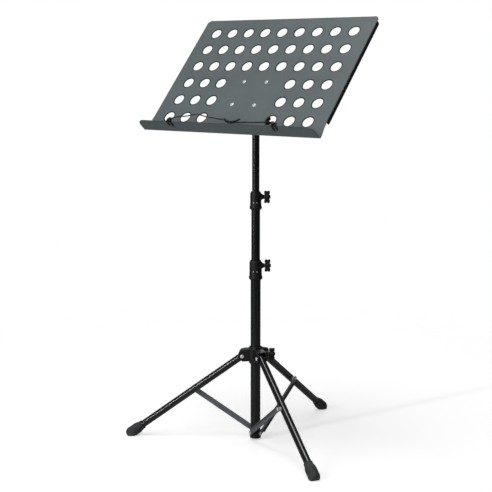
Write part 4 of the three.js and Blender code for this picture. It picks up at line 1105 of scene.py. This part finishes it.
def collar(radius, sliding, skirt):
    """Heights count from the end of the tube that the collar is pressed on."""
    body = radius + COLLAR_WALL
    rim = body + COLLAR_RIM
    rim_foot = -skirt + 3
    outside = [
        (0, -skirt), (radius + 1.3, -skirt), (rim, rim_foot), (rim, rim_foot + 5),
        (body, rim_foot + 6), (body, COLLAR_SHOULDER), (sliding + 1.7, COLLAR_HEAD),
        (0, COLLAR_HEAD),
    ]
    solids = [soft_turned(outside, 0.6, 72)]
    for z in (rim_foot + 8, rim_foot + 10.2):
        root, crest = body - 1, body + 0.45
        bead = [(root, z - 0.6), (crest, z - 0.3), (crest, z + 0.3), (root, z + 0.6)]
        solids.append(turned(bead, 72))
    nose = body + NOSE_REACH
    boss = along_x(soft_turned([
        (0, radius), (NOSE_RADIUS * 1.75, radius), (NOSE_RADIUS * 1.5, body + 0.5),
        (NOSE_RADIUS, nose - 2), (NOSE_RADIUS, nose), (0, nose),
    ], 0.7))
    boss.transform(moved(0, 0, CLAMP_HEIGHT))
    fin = slab(rounded([
        (radius, CLAMP_HEIGHT), (nose - 2, CLAMP_HEIGHT), (nose - 2, CLAMP_HEIGHT + 3.9),
        (body - 1, COLLAR_SHOULDER), (radius, COLLAR_SHOULDER)], 0.5), NOSE_RADIUS * 1.6, 0.5)
    solids += [boss, fin]
    pressed, running, lined = radius + GAP, sliding + GAP, sliding + LINER_ROOM
    bores = turned([
        (0, -skirt - 1), (pressed, -skirt - 1), (pressed, GAP), (running, GAP),
        (running, LINER_FOOT), (lined, LINER_FOOT), (lined, LINER_TOP), (running, LINER_TOP),
        (running, COLLAR_HEAD + 1), (0, COLLAR_HEAD + 1),
    ], 72)
    screw_hole = along_x(rod(SCREW_HOLE, 0, nose + 1, 20))
    screw_hole.transform(moved(0, 0, CLAMP_HEIGHT))
    return moulded(solids, [bores, screw_hole], 0.6, 4)


def collar_rivets(radius, skirt):
    """Small domed heads round the middle of the collar, in pairs clear of the clamp."""
    heads = []
    for azimuth in (-107, -71, 73, 109):
        head = turned([(0, -1.2), (1.2, -1.2), *dome(1.2, 0, 0.5)], 20)
        out = along_x(head, radius + COLLAR_WALL)
        out.transform(moved(0, 0, -skirt * 0.2) @ turned_about("Z", azimuth))
        heads.append(out)
    return gathered(*heads)


for prefix, (tube, radius, sliding, body) in COLLARS.items():
    tube_end = heights(tube)[1]
    skirt = tube_end - heights(f"{prefix}_collar")[0]
    place = column_place @ moved(0, 0, tube_end) @ turned_about("Z", CLAMP_TURN)
    finished(f"moulded_{prefix}_collar", collar(radius, sliding, skirt), place, plastic, body,
             "black_plastic", f"{prefix}_collar")
    finished(f"{prefix}_collar_rivets", collar_rivets(radius, skirt), place, zinc, body,
             "bright_steel")

# ---- Clamp screws and wing knobs ----------------------------------------------------------------
# M5 screws, bright zinc on the collars and yellow on the hub, each moulded into a black wing knob.
SCREW_RADIUS = 2.5
CLAMP_WINGS = {"stem": 0, "span": 27.5, "width": 12.5}
HUB_BORE = 11.3
HUB_NOSE_REACH = 28
HUB_SCREW_SHOWN = 2.2


def yellow_zinc():
    """Yellow passivated zinc: gold that drifts to green and rose in thin bands."""
    material, tree, shader = finish_shell("yellow_zinc", Metallic=0.6)
    drift = use(tree, "mottle", Scale=320, Least=0, Most=1)
    gold = mixed(tree, drift, colour("cfa94a"), colour("b9b45c"))
    rosy = mixed(tree, use(tree, "mottle", Scale=150, Least=0, Most=0.4), gold, colour("c98f77"))
    tree.links.new(rosy, shader.inputs["Base Color"])
    tree.links.new(use(tree, "mottle", Scale=200, Least=0.22, Most=0.4), shader.inputs["Roughness"])
    relief(tree, shader, use(tree, "grain", Scale=1500, Sharpness=0.2), 0.006)
    return material


gold_zinc = yellow_zinc()


def fit_clamp(prefix, tip, knob_foot, finish, slot):
    """Sets one screw and its knob at their height, turned to the clamp side."""
    place = in_metres @ Matrix.Translation(pivot(f"{prefix}_clamp_turn"))
    place = place @ turned_about("Z", CLAMP_TURN)
    body = f"{prefix}_clamp"
    screw = along_x(thread(SCREW_RADIUS, tip, knob_foot + SCREW_IN_KNOB))
    finished(f"threaded_{prefix}_screw", screw, place, finish, body, slot, f"{prefix}_clamp_screw")
    knob = wing_knob(screw=SCREW_RADIUS, **CLAMP_WINGS)
    finished(f"{prefix}_wing_knob", knob, place @ moved(knob_foot, 0, 0), plastic, body,
             "black_plastic", f"{prefix}_clamp_knob")


for prefix, (tube, radius, sliding, body) in COLLARS.items():
    knob_foot = radius + COLLAR_WALL + NOSE_REACH + GAP
    fit_clamp(prefix, sliding + LINER_ROOM, knob_foot, zinc, "bright_steel")
fit_clamp("hub", HUB_BORE, HUB_NOSE_REACH + HUB_SCREW_SHOWN, gold_zinc, "yellow_zinc")

# ---- Hub ----------------------------------------------------------------------------------------
# A black moulding that slides on the column, with a hood over the top of each leg and a boss for
# its clamp screw.
HUB_SLEEVE = 14.6
PIN_REACH = 29
HOOD_INNER = 8.6
HOOD_OUTER = 11
HOOD_ROOF = 13  # underside, over the hub pins
HOOD_SHEET = 2.4
HOOD_MOUTH = 9  # beyond the hub pins
HUB_BELOW_PIN = 17
HUB_ABOVE_PIN = 22
PIN_RADIUS = 2.4
CLAMP_OVER_PIN = 5


def hood_outline():
    """The side of a hood, with heights from the hub pin."""
    turns = [-math.pi / 2.6 * (1 - k / 8) for k in range(9)]
    mouth = [(PIN_REACH + HOOD_MOUTH * math.cos(t), HOOD_MOUTH * math.sin(t)) for t in turns]
    roof = HOOD_ROOF + HOOD_SHEET
    return [
        (4, -8), (HUB_SLEEVE, -11), (PIN_REACH, -12), *mouth, (PIN_REACH + HOOD_MOUTH, 4),
        (PIN_REACH + 7.5, 10), (PIN_REACH + 3.5, 13.8), (PIN_REACH - 3, roof), (4, roof + 3),
    ]


def hub():
    """The origin is on the column's axis at the height of the hub pins, X towards the clamp."""
    solids = [soft_turned([
        (0, -HUB_BELOW_PIN), (HUB_SLEEVE, -HUB_BELOW_PIN), (HUB_SLEEVE, HUB_ABOVE_PIN),
        (0, HUB_ABOVE_PIN),
    ], 1.6, 72)]
    cutters = [rod(HUB_BORE, -HUB_BELOW_PIN - 1, HUB_ABOVE_PIN + 5, 72)]
    for side in SIDES:
        turn = turned_about("Z", leg_azimuth(side) - CLAMP_TURN)
        hood = slab(hood_outline(), 2 * HOOD_OUTER, 1.0)
        hood.transform(turn)
        solids.append(hood)
        wall = HUB_SLEEVE + GAP
        out = PIN_REACH + 15
        room = slab([(wall, -30), (out, -30), (out, HOOD_ROOF), (wall, HOOD_ROOF)],
                    2 * HOOD_INNER, 0.05)
        room.transform(turn)
        pin_hole = along_y(rod(PIN_RADIUS + GAP, -20, 20, 20))
        pin_hole.transform(turn @ moved(PIN_REACH, 0, 0))
        cutters += [room, pin_hole]
    boss = along_x(soft_turned([
        (0, 0), (7.2, 0), (6.2, HUB_SLEEVE + 2), (NOSE_RADIUS, HUB_NOSE_REACH - 3),
        (NOSE_RADIUS, HUB_NOSE_REACH), (0, HUB_NOSE_REACH),
    ], 0.6))
    boss.transform(moved(0, 0, CLAMP_OVER_PIN))
    hole = along_x(rod(SCREW_HOLE, 0, HUB_NOSE_REACH + 1, 20))
    hole.transform(moved(0, 0, CLAMP_OVER_PIN))
    return moulded([*solids, boss], [*cutters, hole], 0.65, 4)


hub_height = pivot("leg_right_swing").z
hub_place = column_place @ moved(0, 0, hub_height) @ turned_about("Z", CLAMP_TURN)
finished("moulded_hub", hub(), hub_place, plastic, "hub_slider", "black_plastic", "hub")

# ---- Hub pins -----------------------------------------------------------------------------------
# A steel rivet through each hood and leg, domed at both ends.
PIN_HEAD = 4.2
PIN_HEAD_HEIGHT = 1.6
for side in SIDES:
    seat = HOOD_OUTER + GAP
    under = seat - 0.02  # keeps the rim of each head from closing up
    ends = dome(PIN_HEAD, seat, PIN_HEAD_HEIGHT)
    profile = [
        *ends, *[(x, -z) for x, z in reversed(ends)],
        (PIN_HEAD, -under), (PIN_RADIUS, -under), (PIN_RADIUS, under), (PIN_HEAD, under),
    ]
    name = f"hub_pin_{side}"
    finished(f"domed_{name}", along_y(turned(profile, 28)), leg_place(side), zinc, "hub_slider",
             "bright_steel", name)

# ---- Legs ---------------------------------------------------------------------------------------
# 16 mm steel tubes in gloss black enamel, drilled for the hub pin.
LEG_RADIUS = 8
LEG_BEHIND_PIN = 9
LEG_TO_TIP = 305
gloss_black = black_enamel("gloss_black_enamel", 0.1, 0.2, 1.0)

for side in SIDES:
    mesh = along_x(pipe(LEG_RADIUS, -LEG_BEHIND_PIN, LEG_TO_TIP, 48))
    name = f"leg_{side}"
    finished(f"drawn_{name}", mesh, leg_place(side), gloss_black, name, "black_enamel", name)

# ---- Leg bushes ---------------------------------------------------------------------------------
# A bright zinc bush riveted to the side of each leg, hollowed to sit on the tube. It stands the
# brace off the leg, and the brace swings against its face.
BUSH_ALONG_LEG = 139.7
BUSH_RADIUS = 4.6
BRACE_FACE = -12.7  # the brace's near face, beside the leg's middle plane


def cut_away(mesh, *cutters):
    """The mesh with exact bites taken out of it."""
    piece = linked(mesh)
    tools = [linked(cutter, "cutter") for cutter in cutters]
    for tool in tools:
        bite = piece.modifiers.new("bite", "BOOLEAN")
        bite.operation = "DIFFERENCE"
        bite.solver = "EXACT"
        bite.object = tool
    made = baked(piece)
    for tool in tools:
        bpy.data.objects.remove(tool)
    return made


def leg_bush():
    boss = along_y(soft_turned([
        (0, BRACE_FACE + GAP), (BUSH_RADIUS, BRACE_FACE + GAP), (BUSH_RADIUS, 0), (0, 0)], 0.4))
    return cut_away(boss, along_x(rod(LEG_RADIUS + 0.05, -8, 8, 48)))


for side in SIDES:
    name = f"leg_bush_{side}"
    place = leg_place(side) @ moved(BUSH_ALONG_LEG, 0, 0)
    finished(f"turned_{name}", leg_bush(), place, zinc, f"leg_{side}", "bright_steel", name)

# ---- Feet ---------------------------------------------------------------------------------------
# Moulded rubber boots pushed over the leg ends, swollen towards the tip and worn flat where they
# stand, with a beaded mouth, a moulded slot in each side and shallow grip rings.
FOOT_NECK = 281
FOOT_END = 324
FOOT_RADIUS = 12.8
FOOT_TIP_RADIUS = 8.5


def grey_rubber():
    """Dull rubber, scuffed pale near the floor."""
    material, tree, shader = finish_shell("grey_rubber", IOR=1.5)
    drift = use(tree, "mottle", Scale=50, Least=0, Most=1)
    base = mixed(tree, drift, colour("26292a"), colour("34383a"))
    place = node(tree, "ShaderNodeTexCoord").outputs["Object"]
    height = node(tree, "ShaderNodeSeparateXYZ", Vector=place).outputs["Z"]
    low = node(tree, "ShaderNodeMapRange", {"clamp": True}, Value=height, From_Min=0.0,
               From_Max=0.012, To_Min=0.6, To_Max=0.0).outputs["Result"]
    scuffs = maths(tree, "MULTIPLY", low, use(tree, "mottle", Scale=140, Least=0, Most=1))
    scuffed = mixed(tree, scuffs, base, colour("6f706c"))
    dusty = mixed(tree, use(tree, "dust", Amount=0.35), scuffed, colour("7c7d7a"))
    tree.links.new(dusty, shader.inputs["Base Color"])
    tree.links.new(use(tree, "mottle", Scale=60, Least=0.62, Most=0.85), shader.inputs["Roughness"])
    relief(tree, shader, use(tree, "grain", Scale=1100, Sharpness=0.8), 0.05)
    return material


rubber = grey_rubber()


def foot(side):
    """Made along the leg, and then cut flat at the floor."""
    bore = LEG_RADIUS + GAP
    tube_end = LEG_TO_TIP + GAP
    rings = []
    for k in range(3):
        x = FOOT_NECK + 19 + 4.5 * k
        groove = FOOT_RADIUS - 0.9
        rings += [(FOOT_RADIUS - 0.25, x), (groove, x + 0.8), (groove, x + 1.6),
                  (FOOT_RADIUS - 0.2, x + 2.4)]
    mesh = along_x(soft_turned([
        (bore, FOOT_NECK), (9.8, FOOT_NECK), (10.0, FOOT_NECK + 3.4), (9.5, FOOT_NECK + 4.4),
        (10.7, FOOT_NECK + 8), (12.2, FOOT_NECK + 14), *rings,
        (FOOT_RADIUS, FOOT_END - 10), (12.2, FOOT_END - 6), (10.9, FOOT_END - 2.6),
        (FOOT_TIP_RADIUS, FOOT_END), (0, FOOT_END), (0, tube_end), (bore, tube_end),
    ], 0.5, 56))
    slots = []
    for way in (-1, 1):
        slot = cut_sheet([rounded([(-1.6, -4), (1.6, -4), (1.6, 4), (-1.6, 4)], 0.8)], 2.6, 0.1)
        slot.transform(moved(FOOT_NECK + 8.5, way * 11.4, 0) @ turned_about("X", 90))
        slots.append(slot)
    mesh = cut_away(mesh, *slots)
    mesh.transform(leg_place(side))
    work = bmesh.new()
    work.from_mesh(mesh)
    everything = work.verts[:] + work.edges[:] + work.faces[:]
    cut = bmesh.ops.bisect_plane(work, geom=everything, dist=1e-7, plane_co=(0, 0, 0),
                                 plane_no=(0, 0, -1), clear_outer=True)
    rim = [e for e in cut["geom_cut"] if isinstance(e, bmesh.types.BMEdge)]
    bmesh.ops.edgeloop_fill(work, edges=rim)
    work.to_mesh(mesh)
    work.free()
    return mesh


for side in SIDES:
    name = f"foot_{side}"
    finished(f"rubber_{name}", foot(side), Matrix.Identity(4), rubber, f"leg_{side}",
             "grey_rubber", name)

# ---- Braces -------------------------------------------------------------------------------------
# Channels folded from 1.2 mm steel, dark grey passivated and flat at both ends, that stay the
# legs. Each is riveted to the bottom bracket and to the bush on its leg, and folds up beside it.
BRACE_SHEET = 1.2
BRACE_HALF_WIDTH = 5.5
BRACE_FLANGE = 3.4
BRACE_FLAT_END = 11
BRACE_RUN_OUT = 2.5  # over which a flange dies away into the flat end
BRACE_BEND = 1.1  # at the middle of the sheet
BRACE_BEND_OUTSIDE = 1.7
BRACE_PIN_RADIUS = 2
BRACE_PIN_HEAD = 3.8
BRACE_PIN_HEAD_HEIGHT = 1.6
BRACE_PIN_DEPTH = 6.5

grey_zinc, *_ = layered(
    "dark_zinc", (55, "707377", "83878b"), (0.3, "8a8b89"), (0.0006, 0.7, "a3a6a9"),
    (75, 0.3, 0.5), (800, 0.3, 0.01), Metallic=0.5,
)

brace_height = pivot("brace_right_swing").z
slope = math.radians(LEG_SLOPE)
brace_run = PIN_REACH + BUSH_ALONG_LEG * math.cos(slope)
brace_rise = hub_height - BUSH_ALONG_LEG * math.sin(slope) - brace_height
brace_length = math.hypot(brace_run, brace_rise)


def brace():
    """X runs up the brace from its lower pin; the flanges turn away from the leg."""
    far = brace_length
    half = BRACE_HALF_WIDTH
    bend = BRACE_BEND * math.pi / 2 - 0.4
    wide = half + BRACE_FLANGE - BRACE_BEND_OUTSIDE + bend
    start, end = BRACE_FLAT_END, far - BRACE_FLAT_END
    flat_start, flat_end = start - BRACE_RUN_OUT, end + BRACE_RUN_OUT
    top = [
        (far + half, 0, 0), (far + half, half, half), (flat_end, half, 0.8), (end, wide, 1.2),
        (start, wide, 1.2), (flat_start, half, 0.8), (-half, half, half),
    ]
    bottom = [(x, -z, r) for x, z, r in reversed(top[1:])]
    holes = [circle(x, 0, BRACE_PIN_RADIUS + GAP, 20) for x in (0, far)]
    mesh = cut_sheet([rounded([*top, *bottom], 0, 5), *holes], BRACE_SHEET, 0.2)
    bend_start = half - BRACE_BEND_OUTSIDE
    sliced(mesh, 1, bend_places(bend_start, BRACE_BEND))
    sliced(mesh, 1, bend_places(-bend_start, BRACE_BEND, -1))
    sliced(mesh, 0, [flat_start, flat_end])
    middle = BRACE_FACE - BRACE_SHEET / 2
    for point in mesh.vertices:
        x, up, offset = point.co
        if abs(up) > bend_start and flat_start + 0.1 < x < flat_end - 0.1:
            out, lift = folded(abs(up), offset, bend_start, BRACE_BEND)
            ramp = min(1, (x - flat_start) / 3, (flat_end - x) / 3)
            flat = abs(up) + (out - abs(up)) * ramp
            point.co = (x, middle - offset - (lift - offset) * ramp, math.copysign(flat, up))
        else:
            point.co = (x, middle - offset, up)
    tidied(mesh)
    return mesh


def brace_rivet(depth):
    seat = -BRACE_FACE + BRACE_SHEET + GAP
    profile = [(0, depth), (BRACE_PIN_RADIUS, depth), (BRACE_PIN_RADIUS, seat),
               *dome(BRACE_PIN_HEAD, seat, BRACE_PIN_HEAD_HEIGHT)]
    mesh = turned(profile, 28)
    mesh.transform(turned_about("X", 90))
    return mesh


for side in SIDES:
    place = column_place @ turned_about("Z", leg_azimuth(side)) @ moved(0, 0, brace_height)
    place = place @ turned_about("Y", -math.degrees(math.atan2(brace_rise, brace_run)))
    name = f"brace_{side}"
    finished(f"folded_{name}", brace(), place, grey_zinc, name, "grey_steel", name)
    upper_place = place @ moved(brace_length, 0, 0)
    finished(f"upper_{name}_rivet", brace_rivet(-BRACE_FACE), upper_place, zinc, name,
             "bright_steel", f"leg_pin_{side}")
    finished(f"lower_{name}_rivet", brace_rivet(BRACE_PIN_DEPTH), place, zinc, "column",
             "bright_steel", f"brace_pin_{side}")

# ---- Bottom bracket -----------------------------------------------------------------------------
# A black moulding plugged into the foot of the column, with a boss for each brace.
BASE_FOOT = 3.5
BASE_TOP = 22
BASE_RADIUS = 11.6
BASE_FLANGE = 12.3
PLUG_RADIUS = 9.7
PLUG_LENGTH = 20
BOSS_RADIUS = 5.2


def bottom_bracket():
    solids = [soft_turned([
        (0, BASE_FOOT), (BASE_FLANGE, BASE_FOOT), (BASE_FLANGE, BASE_FOOT + 3),
        (BASE_RADIUS, BASE_FOOT + 3.8), (BASE_RADIUS, BASE_TOP), (PLUG_RADIUS, BASE_TOP),
        (PLUG_RADIUS, BASE_TOP + PLUG_LENGTH), (0, BASE_TOP + PLUG_LENGTH)], 0.5, 64)]
    cutters = []
    for side in SIDES:
        turn = turned_about("Z", leg_azimuth(side)) @ moved(0, 0, brace_height)
        boss = along_y(rod(BOSS_RADIUS, BRACE_FACE + GAP, -5.8, 40))
        hole = along_y(rod(BRACE_PIN_RADIUS + GAP, BRACE_FACE - 1, -BRACE_PIN_DEPTH + GAP, 20))
        boss.transform(turn)
        hole.transform(turn)
        solids.append(boss)
        cutters.append(hole)
    return moulded(solids, cutters, 0.55, 3)


finished("moulded_bottom_bracket", bottom_bracket(), column_place, plastic, "column",
         "black_plastic", "bottom_bracket")

# ---- Floor, light and camera --------------------------------------------------------------------
# A white sweep under plain soft lamps, in a white room, with the camera level with the desk. What
# mirrors in the black enamel is held dim, so that it stays black.
LENS = 84.29
CAMERA_OFFSET = Vector((1.5455, -1.9554, 0.8370))  # from the foot of the column
CAMERA_AIM = Vector((-0.6189, 0.7695, -0.1576))
FLOOR_HALF = 1.6
FADE_FROM = 0.6  # the floor melts into the white room between these distances
FADE_TO = 1.4
FLOOR_LIFT = 0.52  # brings the floor up to white for the camera
WHITE = (1, 1, 1, 1)


def sweep_material():
    """A matt white floor, lifted to full white for the camera and held dark in reflections."""
    material, tree, shader = finish_shell("white_sweep", Roughness=0.9)
    grain = use(tree, "mottle", Scale=3, Least=0, Most=1)
    tint = mixed(tree, grain, (0.86, 0.86, 0.86, 1), (0.88, 0.88, 0.88, 1))
    path = node(tree, "ShaderNodeLightPath")
    seen = mixed(tree, path.outputs["Is Glossy Ray"], tint, (0.35, 0.35, 0.35, 1))
    tree.links.new(seen, shader.inputs["Base Color"])
    place = node(tree, "ShaderNodeTexCoord").outputs["Object"]
    away = tree.nodes.new("ShaderNodeVectorMath")
    away.operation = "LENGTH"
    tree.links.new(place, away.inputs[0])
    fade = node(tree, "ShaderNodeMapRange", {"clamp": True}, Value=away.outputs["Value"],
                From_Min=FADE_FROM, From_Max=FADE_TO, To_Min=1.0, To_Max=0.0)
    tree.links.new(fade.outputs["Result"], shader.inputs["Alpha"])
    lift = maths(tree, "MULTIPLY", path.outputs["Is Camera Ray"], FLOOR_LIFT)
    tree.links.new(lift, shader.inputs["Emission Strength"])
    shader.inputs["Emission Color"].default_value = WHITE
    return material


corners = [(x * FLOOR_HALF, y * FLOOR_HALF, 0) for x, y in ((-1, -1), (1, -1), (1, 1), (-1, 1))]
floor = linked(sheet_of(corners, [(0, 1, 2, 3)]), "floor")
floor.data.materials.append(sweep_material())

AMBIENT = 0.15
MIRRORED = 0.08  # what reflections see of the room
world = bpy.data.worlds.new("white_room")
bpy.context.scene.world = world
world.use_nodes = True
sky = world.node_tree
ambient = sky.nodes["Background"]
sky_path = node(sky, "ShaderNodeLightPath")
seen_white = maths(
    sky, "MAXIMUM", sky_path.outputs["Is Camera Ray"], sky_path.outputs["Is Transmission Ray"])
dim = maths(sky, "MULTIPLY", sky_path.outputs["Is Glossy Ray"], AMBIENT - MIRRORED)
strength = maths(sky, "MAXIMUM", seen_white, maths(sky, "SUBTRACT", AMBIENT, dim))
sky.links.new(strength, ambient.inputs["Strength"])
ambient.inputs["Color"].default_value = WHITE


def soft_lamp(name, place, aim, size, power):
    lamp = bpy.data.lights.new(name, "AREA")
    lamp.shape = "RECTANGLE"
    lamp.size, lamp.size_y = size
    lamp.energy = power
    piece = linked(lamp, name)
    piece.location = place
    piece.rotation_euler = (Vector(aim) - Vector(place)).to_track_quat("-Z", "Y").to_euler()


STAND_MIDDLE = (0, 0, 0.5)
soft_lamp("overhead", (0.0, -0.6, 3.0), STAND_MIDDLE, (1.6, 1.2), 29)
soft_lamp("front_bank", (0.8, -3.4, 1.7), STAND_MIDDLE, (2.2, 1.2), 17)
soft_lamp("left_strip", (-0.9, -3.0, 1.3), STAND_MIDDLE, (0.11, 2.6), 36)
soft_lamp("back_bank", (-1.6, 2.6, 2.0), STAND_MIDDLE, (1.6, 1.6), 17)

camera = bpy.data.cameras.new("camera")
camera.lens = LENS
camera.sensor_width = 36
viewer = linked(camera, "camera")
viewer.location = Vector((axis_place.x, axis_place.y, 0)) + CAMERA_OFFSET
viewer.rotation_euler = CAMERA_AIM.to_track_quat("-Z", "Y").to_euler()
bpy.context.scene.camera = viewer
bpy.context.scene.view_settings.view_transform = "Standard"
